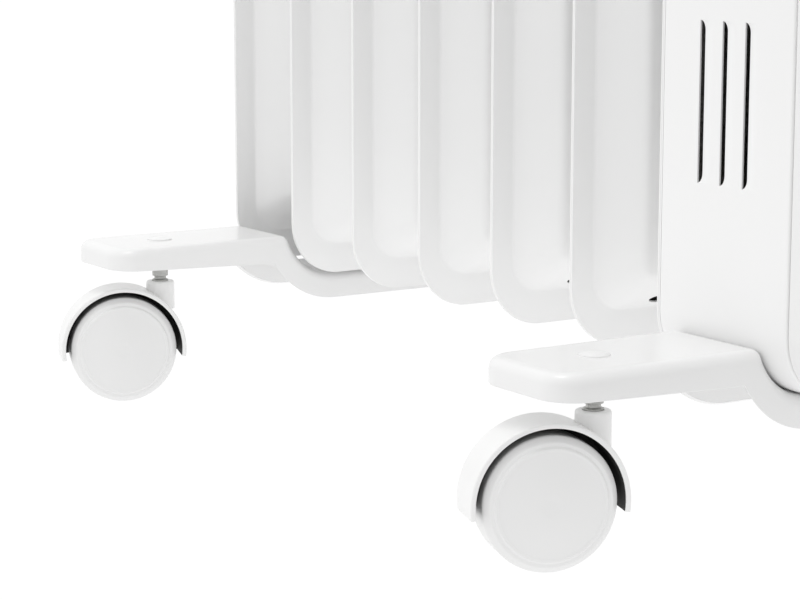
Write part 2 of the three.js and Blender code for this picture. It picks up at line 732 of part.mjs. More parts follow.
function thermostatBody() {
  const front = PANEL_BACK_X - CLEAR;
  const block = box(front - 18, front, -17, 17, KNOB_HEIGHT_Z - 17, KNOB_HEIGHT_Z + 17);
  const bush = barX(SPINDLE_RADIUS + 0.3, front - 12, front + 1, 0, KNOB_HEIGHT_Z, 12);
  return block.subtract(bush);
}
addPart(heater, 'thermostat_body', thermostatBody(), blackPlastic);

const SPINDLE_START_X = PANEL_BACK_X - CLEAR - 11;
const KNOB_BACK_X = FACE_X + 0.2;
const spindle = barX(SPINDLE_RADIUS, SPINDLE_START_X, KNOB_BACK_X + 8, 0, KNOB_HEIGHT_Z, 12);
addPart(heater, 'thermostat_spindle', spindle, brightSteel);

function thermostatKnob() {
  const depth = KNOB_DEPTH - 0.2;
  const bore = SPINDLE_RADIUS + CLEAR;
  const profile = [
    [bore, 0],
    [KNOB_RADIUS, 0],
    [KNOB_RADIUS, 4],
    [KNOB_RADIUS - 3, 6],
    [KNOB_RADIUS - 4.5, depth - 1.5],
    [KNOB_RADIUS - 6, depth],
    [0, depth],
    [0, 9],
    [bore, 9],
    [bore, 0],
  ];
  const turned = turnedAboutX(profile, 24).translate([KNOB_BACK_X, 0, KNOB_HEIGHT_Z]);
  const ribEnd = FACE_X + KNOB_DEPTH - 0.4;
  const rib = box(FACE_X + 5, ribEnd, -1.6, 1.6, KNOB_HEIGHT_Z + 4, KNOB_HEIGHT_Z + 17.5);
  return turned.add(rib);
}
addPart(heater, 'thermostat_knob', thermostatKnob(), whitePlastic);

// ---------- power switches ----------

const SWITCH_FACE_X = FACE_X + 0.6;
const ROCKER_PIVOT_X = SWITCH_FACE_X - 4;

function switchFrame() {
  const z0 = SWITCH_Z - SWITCH_TALL / 2;
  const z1 = SWITCH_Z + SWITCH_TALL / 2;
  const block = box(SWITCH_FACE_X - 16, SWITCH_FACE_X, -SWITCH_HALF, SWITCH_HALF, z0, z1);
  const tall = ROCKER_TALL / 2 + 0.9;
  const wide = ROCKER_WIDTH / 2 + CLEAR;
  const pockets = [-1, 1].map((side) => {
    const y = (side * SWITCH_WIDTH) / 4;
    return box(SWITCH_FACE_X - 14, SWITCH_FACE_X + 1, y - wide, y + wide, SWITCH_Z - tall, SWITCH_Z + tall);
  });
  return cut(block, ...pockets);
}
addPart(heater, 'switch_frame', switchFrame(), blackPlastic);

// A rocker with two flat press faces that meet in a shallow valley at its pivot.
function addRocker(name, y) {
  const half = ROCKER_TALL / 2;
  const outline = [
    [-half, -5],
    [half, -5],
    [half, 4.4],
    [0, 2.8],
    [-half, 4.4],
  ];
  const body = prismY(outline, -ROCKER_WIDTH / 2, ROCKER_WIDTH / 2);
  const rocker = addPart(heater, name, body, whitePlastic);
  rocker.position.set(ROCKER_PIVOT_X, y, SWITCH_Z);
  rocker.rotation.y = radians(-ROCKER_TILT);
}
addRocker('power_rocker_low', -SWITCH_WIDTH / 4);
addRocker('power_rocker_high', SWITCH_WIDTH / 4);

const pilotLight = turnedAboutX(
  [
    [0, -8],
    [PILOT_RADIUS, -8],
    [PILOT_RADIUS, 2.5],
    [PILOT_RADIUS * 0.8, 3.6],
    [PILOT_RADIUS * 0.4, 4.2],
    [0, 4.4],
  ],
  16,
).translate([PANEL_BACK_X, 0, PILOT_Z]);
addPart(heater, 'pilot_light', pilotLight, amberLens);

// ---------- inside the housing ----------

function terminalBlock() {
  const face = SHIELD_FACE_X + 16;
  const block = box(SHIELD_FACE_X, face, -22, 22, 196, 214);
  const pockets = [-14, 0, 14].map((y) => box(face - 7, face + 1, y - 4, y + 4, 200, 210));
  return cut(block, ...pockets);
}
addPart(heater, 'terminal_block', terminalBlock(), blackPlastic);

const CUTOUT_Z = 160;
const thermalCutout = turnedAboutX([[0, 0], [9, 0], [9, 5], [6, 7], [0, 7]], 16)
  .translate([SHIELD_FACE_X, 0, CUTOUT_Z])
  .add(box(SHIELD_FACE_X + 5, SHIELD_FACE_X + 15, -4, -3.2, CUTOUT_Z - 3, CUTOUT_Z + 3))
  .add(box(SHIELD_FACE_X + 5, SHIELD_FACE_X + 15, 3.2, 4, CUTOUT_Z - 3, CUTOUT_Z + 3));
addPart(heater, 'thermal_cutout', thermalCutout, dullSteel);

// The tip-over switch is a plate with a pivot pin; a weight hangs on the pin and swings.
const TIP_Y = 34;
const TIP_PIVOT_Z = 128;
const TIP_PIN_RADIUS = 2;
const TIP_ARM_X = SHIELD_FACE_X + 10;

function tipOverSwitch() {
  const plate = box(SHIELD_FACE_X, SHIELD_FACE_X + 6, TIP_Y - 16, TIP_Y + 16, 96, 136);
  const pin = barX(TIP_PIN_RADIUS, SHIELD_FACE_X + 5, SHIELD_FACE_X + 20, TIP_Y, TIP_PIVOT_Z, 12);
  return plate.add(pin);
}
addPart(heater, 'tip_over_switch', tipOverSwitch(), blackPlastic);

function tipOverWeight() {
  const eye = barX(4.5, TIP_ARM_X, TIP_ARM_X + 6, TIP_Y, TIP_PIVOT_Z, 12);
  const arm = box(TIP_ARM_X + 1, TIP_ARM_X + 5, TIP_Y - 2, TIP_Y + 2, TIP_PIVOT_Z - 24, TIP_PIVOT_Z - 3);
  const weight = barX(7, TIP_ARM_X - 2, TIP_ARM_X + 8, TIP_Y, TIP_PIVOT_Z - 26, 16);
  const bore = barX(TIP_PIN_RADIUS + CLEAR, TIP_ARM_X - 1, TIP_ARM_X + 7, TIP_Y, TIP_PIVOT_Z, 12);
  return joined(eye, arm, weight).subtract(bore);
}
addPart(heater, 'tip_over_weight', tipOverWeight(), brass);

const cordGland = turnedAboutX(
  [
    [4.2, -8],
    [9, -8],
    [9, CLEAR],
    [12.5, CLEAR],
    [12.5, 2],
    [8, 5],
    [6, 8],
    [4.2, 8],
    [4.2, -8],
  ],
  16,
).translate([FACE_X, 0, GLAND_Z]);
addPart(heater, 'cord_gland', cordGland, blackPlastic);

// ---------- carry handle ----------

function carryHandle() {
  const base = FIN_TOP + CLEAR;
  const gapLow = base + HANDLE_BASE;
  const gapHigh = gapLow + HANDLE_FINGER_GAP;
  const top = gapHigh + HANDLE_GRIP;
  const half = HANDLE_LENGTH / 2;
  const outside = [
    [-half, base],
    [half, base],
    ...arc(half - 16, top - 16, 16, 0, 90, 4),
    ...arc(-half + 16, top - 16, 16, 90, 180, 4),
  ];
  const gap = roundedBox(-half + 8, half - 8, gapLow, gapHigh, 9, 3).reverse();
  const middle = HOUSING_X + HOUSING_DEPTH / 2 + 4;
  return prismX(outside, middle - HANDLE_WIDTH / 2, middle + HANDLE_WIDTH / 2, [gap]);
}
addPart(heater, 'carry_handle', carryHandle(), whitePlastic);

export default heater;
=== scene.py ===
"""Oil filled radiator heater on castors: the finished look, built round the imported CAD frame.

Lengths are in millimetres until a mesh is made. +X runs along the fins towards the
control housing, +Y across them, +Z up.
"""

import math

import bmesh
import bpy
from mathutils import Matrix, Vector


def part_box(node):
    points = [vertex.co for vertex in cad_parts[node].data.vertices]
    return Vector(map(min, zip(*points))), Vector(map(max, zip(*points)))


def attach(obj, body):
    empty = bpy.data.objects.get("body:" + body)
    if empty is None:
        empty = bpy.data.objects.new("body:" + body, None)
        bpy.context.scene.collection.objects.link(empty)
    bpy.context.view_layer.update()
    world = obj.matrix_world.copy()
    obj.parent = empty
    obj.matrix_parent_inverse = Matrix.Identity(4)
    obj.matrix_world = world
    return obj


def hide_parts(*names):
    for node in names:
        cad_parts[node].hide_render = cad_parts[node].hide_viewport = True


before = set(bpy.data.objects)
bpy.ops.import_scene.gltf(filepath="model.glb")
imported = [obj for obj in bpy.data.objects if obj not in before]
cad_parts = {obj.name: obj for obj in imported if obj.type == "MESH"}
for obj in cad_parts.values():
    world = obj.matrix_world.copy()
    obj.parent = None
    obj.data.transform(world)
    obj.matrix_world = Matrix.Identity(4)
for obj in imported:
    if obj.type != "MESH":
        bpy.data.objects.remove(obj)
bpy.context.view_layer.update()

MM = 0.001

# ---------- dimensions shared with the CAD frame ----------

FIN_COUNT = 7
FIN_WIDTH = 140
FIN_BOTTOM = 45.4
FIN_TOP = 596
CORNER_RADIUS = 20
SHEET_GAP = 0.1
FIN_SHEET = 0.6
RIM_SIDE = 8.4
RIM_BOTTOM = 11.4
PRESS_DEPTH = 12.6
PANEL_CORNER = 6
HEADER_HEIGHTS = (107, 540)
NECK_OUTER = 15
NECK_BORE = 14
FIN_PITCH = 44.5

HOUSING_DEPTH = 56.5
LOUVRE_FIRST = 17.6
LOUVRE_PITCH = 9.9
LOUVRE_COUNT = 3
LOUVRE_BOTTOM = 105.7
LOUVRE_LENGTH = 47.9
COVER_DEPTH = 27
COVER_ROUND = 10
COVER_WALL = 2.2

FOOT_WIDTH = 40.5
FOOT_REACH = 143
FOOT_TOP = 60.5
FOOT_FLANGE = 10
FOOT_TAPER = 2
FOOT_SHEET = 1.6
FOOT_TIP_RADIUS = 10
FOOT_BEND = 3.5
FOOT_FILLET = 3.6
SADDLE_Y = FIN_WIDTH / 2 - CORNER_RADIUS
SADDLE_Z = FIN_BOTTOM + CORNER_RADIUS
SADDLE_RADIUS = CORNER_RADIUS + 0.5

STEM_Y = 115.8
STEM_RADIUS = 3
WHEEL_RADIUS = 20
WHEEL_FACE = 11.2
WHEEL_WIDTH = 14.6
CASTOR_TRAIL = 15.4
CASTOR_TURN = 19
HOOD_OUTER = 23.7
HOOD_BACK = -6.3
HOOD_FRONT = 10.7
HOOD_WEB = 2
HOOD_END = 8
NECK_RADIUS = 5.35

# ---------- dimensions that differ from the CAD frame's ----------

HOOD_INNER = 22.1  # the CAD hood's is 22.4
NECK_TOP = 44.7  # the CAD neck's is 46
STEM_SEAT = 5.4  # how far the stem goes down into the neck


def low(node):
    """A CAD node's lowest corner, in millimetres."""
    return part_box(node)[0] / MM


def high(node):
    """A CAD node's highest corner, in millimetres."""
    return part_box(node)[1] / MM


HOUSING_X = low("control_housing").x
COVER_X = low("front_cover").x
FACE_X = high("front_cover").x
REAR_FOOT_X = (low("rear_foot_bracket").x + high("rear_foot_bracket").x) / 2
FRONT_FOOT_X = (low("front_foot_bracket").x + high("front_foot_bracket").x) / 2


# ---------- materials ----------

class Nodes:
    """A material's node tree, with its Principled shader at the end."""

    def __init__(self, name):
        self.material = bpy.data.materials.new(name)
        self.material.use_nodes = True
        self.tree = self.material.node_tree
        self.shader = self.tree.nodes["Principled BSDF"]
        coords = self.tree.nodes.new("ShaderNodeTexCoord")
        self.place = coords.outputs["Object"]

    def link(self, source, target):
        self.tree.links.new(source, target)

    def noise(self, scale, detail=2.0, roughness=0.5, stretch=None):
        node = self.tree.nodes.new("ShaderNodeTexNoise")
        node.inputs["Scale"].default_value = scale
        node.inputs["Detail"].default_value = detail
        node.inputs["Roughness"].default_value = roughness
        place = self.place
        if stretch:
            mapping = self.tree.nodes.new("ShaderNodeMapping")
            mapping.inputs["Scale"].default_value = stretch
            self.link(place, mapping.inputs["Vector"])
            place = mapping.outputs["Vector"]
        self.link(place, node.inputs["Vector"])
        return node.outputs["Fac"]

    def spread(self, value, low_end, high_end):
        """value from 0.3 to 0.7 becomes low_end to high_end."""
        node = self.tree.nodes.new("ShaderNodeMapRange")
        node.inputs["From Min"].default_value = 0.3
        node.inputs["From Max"].default_value = 0.7
        node.inputs["To Min"].default_value = low_end
        node.inputs["To Max"].default_value = high_end
        self.link(value, node.inputs["Value"])
        return node.outputs["Result"]

    def colour(self, value, dark, light):
        ramp = self.tree.nodes.new("ShaderNodeValToRGB")
        ramp.color_ramp.elements[0].position = 0.3
        ramp.color_ramp.elements[0].color = (*dark, 1)
        ramp.color_ramp.elements[1].position = 0.7
        ramp.color_ramp.elements[1].color = (*light, 1)
        self.link(value, ramp.inputs["Fac"])
        self.link(ramp.outputs["Color"], self.shader.inputs["Base Color"])

    def bump(self, *layers):
        """Each layer is a height value and its depth in millimetres."""
        normal = None
        for value, depth in layers:
            node = self.tree.nodes.new("ShaderNodeBump")
            node.inputs["Distance"].default_value = depth * MM
            node.inputs["Strength"].default_value = 1.0
            self.link(value, node.inputs["Height"])
            if normal:
                self.link(normal, node.inputs["Normal"])
            normal = node.outputs["Normal"]
        self.link(normal, self.shader.inputs["Normal"])

    def set(self, **values):
        for name, value in values.items():
            self.shader.inputs[name.replace("_", " ")].default_value = value


def around(level, spread, tint=(1, 1, 1)):
    """A darker and a lighter colour either side of a grey level."""
    return [tuple(c * (level + s) for c in tint) for s in (-spread, spread)]


def enamel(name, level):
    """Stoved enamel on steel: a faint orange peel, and a slight change in gloss."""
    m = Nodes(name)
    m.colour(m.noise(14, 2), *around(level, 0.002, (1, 1, 0.998)))
    m.link(m.spread(m.noise(120, 2), 0.29, 0.33), m.shader.inputs["Roughness"])
    m.bump((m.noise(1500, 2), 0.002))
    m.set(IOR=1.5, Coat_Weight=0.5, Coat_Roughness=0.07)
    return m.material


def moulded(name, level, roughness, grain_scale, grain_depth, tint=(1, 1, 1), gloss=0.0):
    """Injection moulded plastic with a spark-eroded grain."""
    m = Nodes(name)
    m.colour(m.noise(30, 3), *around(level, level * 0.006, tint))
    blotches = m.noise(110, 2)
    m.link(m.spread(blotches, roughness - 0.05, roughness + 0.05), m.shader.inputs["Roughness"])
    m.bump((m.noise(grain_scale, 3, 0.6), grain_depth))
    m.set(IOR=1.49, Coat_Weight=gloss, Coat_Roughness=0.15)
    return m.material


def plated(name, level, roughness, stretch, tint=(1, 1, 1)):
    """Plated steel with fine drawn or turned lines along its stretch."""
    m = Nodes(name)
    lines = m.noise(900, 3, 0.6, stretch)
    m.colour(lines, *around(level, 0.07, tint))
    m.link(m.spread(m.noise(160, 3), roughness - 0.08, roughness + 0.1), m.shader.inputs["Roughness"])
    m.bump((lines, 0.006), (m.noise(240, 2), 0.004))
    m.set(Metallic=1.0)
    return m.material


def amber():
    """A clear amber lens with faint moulding ripples."""
    m = Nodes("amber_lens")
    m.colour(m.noise(200, 2), (0.78, 0.27, 0.03), (0.95, 0.42, 0.07))
    m.link(m.spread(m.noise(300, 1), 0.08, 0.16), m.shader.inputs["Roughness"])
    m.bump((m.noise(500, 1), 0.01))
    m.set(IOR=1.5, Transmission_Weight=0.35, Coat_Weight=0.6)
    return m.material


ENAMEL = enamel("white_enamel", 0.94)
FOOT_ENAMEL = enamel("foot_enamel", 0.885)
PLASTIC = moulded("white_plastic", 0.90, 0.36, 1500, 0.003, (1, 1, 0.995), 0.15)
WHEEL = moulded("wheel_plastic", 0.86, 0.42, 1300, 0.004, (1, 1, 0.997))
GREY = moulded("grey_plastic", 0.33, 0.45, 1200, 0.02, (0.96, 0.98, 1))
BLACK = moulded("black_plastic", 0.03, 0.48, 1200, 0.02)
# Near-black painted shade for hidden inner faces in the fins, the housing shell and the castor hoods, so that
# slots, louvres and the wheel space read dark.
PAINTED_SHADE = moulded("painted_shade_inside", 0.035, 0.7, 700, 0.02, (1, 0.98, 0.95))
BRIGHT = plated("bright_steel", 0.66, 0.24, (0.05, 0.05, 1))
ZINC = plated("zinc_steel", 0.5, 0.42, (1, 0.15, 1), (1, 1, 0.97))
BRASS = plated("brass", 0.6, 0.3, (1, 1, 0.1), (1, 0.78, 0.42))
AMBER = amber()


# ---------- mesh helpers ----------

def mesh_of(vertices, faces, name="part"):
    """A mesh in metres from vertices in millimetres, welded and with its faces outwards."""
    mesh = bpy.data.meshes.new(name)
    mesh.from_pydata([tuple(c * MM for c in v) for v in vertices], [], faces)
    clean = bmesh.new()
    clean.from_mesh(mesh)
    bmesh.ops.remove_doubles(clean, verts=clean.verts, dist=2e-6)
    bmesh.ops.dissolve_degenerate(clean, edges=clean.edges, dist=1e-7)
    bmesh.ops.recalc_face_normals(clean, faces=clean.faces)
    clean.to_mesh(mesh)
    clean.free()
    return mesh


def shown(mesh, name):
    """Puts a mesh in the scene as an object."""
    mesh.name = name
    piece = bpy.data.objects.new(name, mesh)
    bpy.context.scene.collection.objects.link(piece)
    return piece


def baked(piece):
    """Applies a piece's modifiers."""
    graph = bpy.context.evaluated_depsgraph_get()
    graph.update()
    made = bpy.data.meshes.new_from_object(piece.evaluated_get(graph))
    old = piece.data
    piece.modifiers.clear()
    piece.data = made
    bpy.data.meshes.remove(old)
    return piece


def boolean(mesh, operation, *others):
    """A mesh with others joined to it or cut from it."""
    piece = shown(mesh, "work")
    for other in others:
        tool = shown(other, "tool")
        modifier = piece.modifiers.new("boolean", "BOOLEAN")
        modifier.operation = operation
        modifier.solver = "EXACT"
        modifier.object = tool
        baked(piece)
        bpy.data.objects.remove(tool)
    result = piece.data
    bpy.data.objects.remove(piece)
    return result


def joined(mesh, *others):
    return boolean(mesh, "UNION", *others)


def cut(mesh, *others):
    return boolean(mesh, "DIFFERENCE", *others)


def gathered(*meshes):
    """Several meshes as one, left as separate shells."""
    both = bmesh.new()
    for mesh in meshes:
        both.from_mesh(mesh)
    result = bpy.data.meshes.new("gathered")
    both.to_mesh(result)
    both.free()
    return result


def rounded(mesh, radius, segments=3, angle=40):
    """A mesh with its sharp edges rounded."""
    piece = shown(mesh, "work")
    modifier = piece.modifiers.new("bevel", "BEVEL")
    modifier.width = radius * MM
    modifier.segments = segments
    modifier.limit_method = "ANGLE"
    modifier.angle_limit = math.radians(angle)
    modifier.use_clamp_overlap = True
    modifier.harden_normals = False
    baked(piece)
    result = piece.data
    bpy.data.objects.remove(piece)
    return result


def thickened(mesh, thickness):
    """An open skin given a sheet's thickness inwards."""
    piece = shown(mesh, "work")
    modifier = piece.modifiers.new("sheet", "SOLIDIFY")
    modifier.thickness = thickness * MM
    modifier.offset = -1
    modifier.use_even_offset = True
    modifier.use_quality_normals = True
    modifier.material_offset = 1
    baked(piece)
    result = piece.data
    bpy.data.objects.remove(piece)
    return result


def moved(mesh, matrix):
    """A mesh moved by a matrix whose lengths are in millimetres."""
    metres = matrix.copy()
    metres.translation = matrix.translation * MM
    mesh.transform(metres)
    return mesh


def piece_of(mesh, name, body, material, *nodes, inside=None, crease=35):
    """The finished piece: its material, its body and the CAD nodes it stands for."""
    piece = shown(mesh, name)
    mesh.materials.clear()
    mesh.materials.append(material)
    if inside:
        mesh.materials.append(inside)
    mesh.shade_smooth()
    mesh.set_sharp_from_angle(angle=math.radians(crease))
    weighted = piece.modifiers.new("normals", "WEIGHTED_NORMAL")
    weighted.keep_sharp = True
    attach(piece, body)
    if nodes:
        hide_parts(*nodes)
    return piece


def arc(u, v, radius, start, end, steps):
    """Points of an arc about (u, v), its angles in degrees, ends included."""
    points = []
    for i in range(steps + 1):
        angle = math.radians(start + (end - start) * i / steps)
        points.append((u + radius * math.cos(angle), v + radius * math.sin(angle)))
    return points


def rounded_box(u0, u1, v0, v1, radius, steps=12):
    return [
        *arc(u1 - radius, v0 + radius, radius, -90, 0, steps),
        *arc(u1 - radius, v1 - radius, radius, 0, 90, steps),
        *arc(u0 + radius, v1 - radius, radius, 90, 180, steps),
        *arc(u0 + radius, v0 + radius, radius, 180, 270, steps),
    ]


def outline(inset, bottom_inset=None, radius=None):
    """The (y, z) outline shared by fins, housing and cover, moved in by an inset."""
    half = FIN_WIDTH / 2 - inset
    bottom = FIN_BOTTOM + (inset if bottom_inset is None else bottom_inset)
    corner = CORNER_RADIUS - inset if radius is None else radius
    return rounded_box(-half, half, bottom, FIN_TOP - inset, corner)


def loft(loops, closed=False, caps=True, open_after=()):
    """Joins loops of (x, y, z) points that have the same number of points."""
    count = len(loops[0])
    vertices = [point for loop in loops for point in loop]
    faces = []
    for ring in range(len(loops) if closed else len(loops) - 1):
        if ring in open_after:
            continue
        after = (ring + 1) % len(loops)
        for i in range(count):
            j = (i + 1) % count
            faces.append((ring * count + i, ring * count + j, after * count + j, after * count + i))
    if caps and not closed:
        last = (len(loops) - 1) * count
        faces.append(tuple(range(count - 1, -1, -1)))
        faces.append(tuple(range(last, last + count)))
    return mesh_of(vertices, faces)


def at_x(x, points):
    return [(x, y, z) for y, z in points]


def prism_x(points, x0, x1):
    """An outline of (y, z) points extruded along X."""
    return loft([at_x(x0, points), at_x(x1, points)])


def prism_y(points, y0, y1):
    """An outline of (x, z) points extruded along Y."""
    return loft([[(x, y, z) for x, z in points] for y in (y0, y1)])


def block(x0, x1, y0, y1, z0, z1):
    return prism_x([(y0, z0), (y1, z0), (y1, z1), (y0, z1)], x0, x1)


def turned(profile, segments=64, closed=True):
    """A profile of (radius, distance along +X) turned about the X axis."""
    loops = []
    for s in range(segments):
        angle = 2 * math.pi * s / segments
        loops.append([(x, r * math.cos(angle), r * math.sin(angle)) for r, x in profile])
    count = len(profile)
    vertices = [point for loop in loops for point in loop]
    faces = []
    for s in range(segments):
        t = (s + 1) % segments
        for i in range(count if closed else count - 1):
            j = (i + 1) % count
            faces.append((s * count + i, s * count + j, t * count + j, t * count + i))
    return mesh_of(vertices, faces)


UPRIGHT = Matrix.Rotation(math.radians(-90), 4, "Y")  # turns +X to +Z


def turned_z(profile, segments=48, closed=True):
    return moved(turned(profile, segments, closed), UPRIGHT)


def shift(x, y, z):
    return Matrix.Translation((x, y, z))


def eased(profile, corners, steps=4):
    """A profile of points with named corners rounded: corners maps an index to its radius."""
    points = []
    count = len(profile)
    for i, point in enumerate(profile):
        if i not in corners:
            points.append(point)
            continue
        here = Vector(point)
        back = (Vector(profile[i - 1]) - here).normalized()
        onward = (Vector(profile[(i + 1) % count]) - here).normalized()
        half = back.angle(onward) / 2
        reach = corners[i] / math.tan(half)
        start, end = here + back * reach, here + onward * reach
        for k in range(steps + 1):
            t = k / steps
            curve = start * (1 - t) ** 2 + here * 2 * t * (1 - t) + end * t ** 2
            points.append(tuple(curve))
    return points


def tube(points, radius, segments=20):
    """A round bar along points that lie in one plane of constant x."""
    loops = []
    for i, point in enumerate(points):
        before = points[max(i - 1, 0)]
        after = points[min(i + 1, len(points) - 1)]
        along = (Vector(after) - Vector(before)).normalized()
        across = Vector((1, 0, 0))
        side = across.cross(along).normalized()
        loop = []
        for s in range(segments):
            angle = 2 * math.pi * s / segments
            spot = Vector(point) + across * radius * math.cos(angle) + side * radius * math.sin(angle)
            loop.append(tuple(spot))
        loops.append(loop)
    return loft(loops)


# ---------- radiator fins ----------

CREASE_EASE = 1.6
PANEL_EASE = 5.0
SLOT_HALF_LENGTH = 40.5
SLOT_HALF_WIDTH = 1.9
SLOT_TAPER = 5.0
SLOT_RISE = 2.7  # from the rim's inner edge to the slot's middle
SLOT_CUT = 2.5


def fin_profile(front):
    """(side inset, offset from the weld plane) from a fin's edge to its panel."""
    slope = PRESS_DEPTH - front
    corner = RIM_SIDE + slope
    bare = [(0.0, front), (RIM_SIDE, front), (corner, PRESS_DEPTH), (corner + 12, PRESS_DEPTH)]
    return eased(bare, {1: CREASE_EASE, 2: PANEL_EASE}, 6)


def fin_loop(x, inset, slope_end):
    """The outline at an inset, whose rim is wider along the bottom."""
    rim_share = min(inset / RIM_SIDE, 1)
    bottom = inset + (RIM_BOTTOM - RIM_SIDE) * rim_share
    if inset <= RIM_SIDE:
        radius = CORNER_RADIUS - inset
    else:
        share = min((inset - RIM_SIDE) / (slope_end - RIM_SIDE), 1)
        crease = CORNER_RADIUS - RIM_SIDE
        radius = crease + (PANEL_CORNER - crease) * share
    return at_x(x, outline(inset, bottom, radius))


def slot_cutter(plane, side):
    """A slot with short tapered ends, low on a fin's bottom slope."""
    ends = [SLOT_HALF_LENGTH - SLOT_TAPER * share for share in (0.0, 0.08, 0.22, 0.42, 0.7, 1.0)]
    upper = []
    for y in [-end for end in ends] + list(reversed(ends)):
        from_end = (SLOT_HALF_LENGTH - abs(y)) / SLOT_TAPER
        upper.append((y, SLOT_HALF_WIDTH * math.sqrt(1 - (1 - from_end) ** 2)))
    rim = [*[(y, -lift) for y, lift in upper], *upper[-2:0:-1]]
    rim_face = SHEET_GAP / 2 + FIN_SHEET
    centre = Vector((plane + side * (rim_face + SLOT_RISE), 0, FIN_BOTTOM + RIM_BOTTOM + SLOT_RISE))
    up_slope = Vector((side, 0, 1)).normalized()
    outward = Vector((side, 0, -1)).normalized()
    loops = []
    for depth in (-SLOT_CUT, SLOT_CUT):
        loops.append([tuple(centre + up_slope * v + Vector((0, u, 0)) + outward * depth) for u, v in rim])
    return loft(loops)


def neck(plane, side, height):
    """The drawn collar that carries oil to the next fin."""
    start = PRESS_DEPTH - 0.3
    end = FIN_PITCH / 2 - 0.15
    profile = [
        (NECK_OUTER + 4.5, start),
        (NECK_OUTER + 4.5, PRESS_DEPTH + 0.05),
        (NECK_OUTER, PRESS_DEPTH + 0.05),
        (NECK_OUTER, end),
        (NECK_BORE, end),
        (NECK_BORE, start),
    ]
    mesh = turned(eased(profile, {2: 4.0, 3: 0.4}, 5), 48)
    if side < 0:
        mesh = moved(mesh, Matrix.Rotation(math.pi, 4, "Z"))
    return moved(mesh, shift(plane, 0, height))


def fin_sheet(index, side):
    sheet = "front" if side > 0 else "rear"
    node = f"fin_{index}_{sheet}_sheet"
    edge = low(node).x if side > 0 else high(node).x
    plane = edge - side * SHEET_GAP / 2
    front = SHEET_GAP / 2 + FIN_SHEET
    slope_end = RIM_SIDE + PRESS_DEPTH - front
    outer = fin_profile(front)
    loops = [fin_loop(plane + side * offset, inset, slope_end) for inset, offset in reversed(outer)]
    loops.append(fin_loop(plane + side * (front - 0.15), -0.0, slope_end))
    loops.append(fin_loop(plane + side * SHEET_GAP / 2, 0.0, slope_end))
    shift_in = FIN_SHEET * math.tan(math.radians(22.5))
    for inset, offset in outer[1:]:
        loops.append(
            fin_loop(plane + side * (offset - FIN_SHEET), inset + shift_in, slope_end + shift_in)
        )
    skin = loft(loops)
    if side > 0:
        skin = cut(skin, slot_cutter(plane, side))
    necks = []
    for height in HEADER_HEIGHTS:
        if (side < 0 and index > 1) or (side > 0 and index < FIN_COUNT):
            necks.append(neck(plane, side, height))
    mesh = gathered(skin, *necks)
    piece = piece_of(mesh, f"pressed_{node}", "heater", ENAMEL, node, inside=PAINTED_SHADE)
    # painted shade on the sheet's inner faces, seen through the slot
    paint_shade_inside(piece, plane, side, front)


def paint_shade_inside(piece, plane, side, front):
    """Painted shade on the oil side of a sheet: faces that look back at the weld plane get the near-black
    second material, so the slot reads dark.
    """
    for face in piece.data.polygons:
        away = (face.center.x / MM - plane) * side
        faces_back = face.normal.x * side < -0.5
        if faces_back and away > front:
            face.material_index = 1


for number in range(1, FIN_COUNT + 1):
    for hand in (-1, 1):
        fin_sheet(number, hand)


# ---------- feet ----------

def foot_point(station, depth):
    """Where a station along the foot's top line goes when it is moved down by a depth."""
    kind, where = station
    level = FOOT_TOP - depth
    saddle = SADDLE_RADIUS + depth
    drop = SADDLE_Z - (FOOT_TOP - FOOT_BEND)
    across = math.sqrt((SADDLE_RADIUS + FOOT_BEND) ** 2 - drop ** 2)
    if depth < FOOT_BEND:
        lean = math.degrees(math.atan2(drop, across))
        level_end = SADDLE_Y + across
    else:
        lean = math.degrees(math.asin((SADDLE_Z - level) / saddle))
        level_end = SADDLE_Y + saddle * math.cos(math.radians(lean))
    if kind == "level":
        along = max(where - level_end, 0) / (FOOT_REACH - level_end)
        deep = max(depth - FOOT_FILLET, 0) / (FOOT_FLANGE - FOOT_FILLET)
        return (max(where, level_end), level + FOOT_TAPER * along * deep)
    if kind == "bend":
        radius = max(FOOT_BEND - depth, 0)
        if radius == 0:
            return (level_end, level)
        angle = math.radians(90 + (90 - lean) * where)
        centre_z = FOOT_TOP - FOOT_BEND
        return (level_end + radius * math.cos(angle), centre_z + radius * math.sin(angle))
    if kind == "saddle":
        angle = math.radians(-lean + (-90 + lean) * where)
        return (SADDLE_Y + saddle * math.cos(angle), SADDLE_Z + saddle * math.sin(angle))
    return (where, SADDLE_Z - saddle)


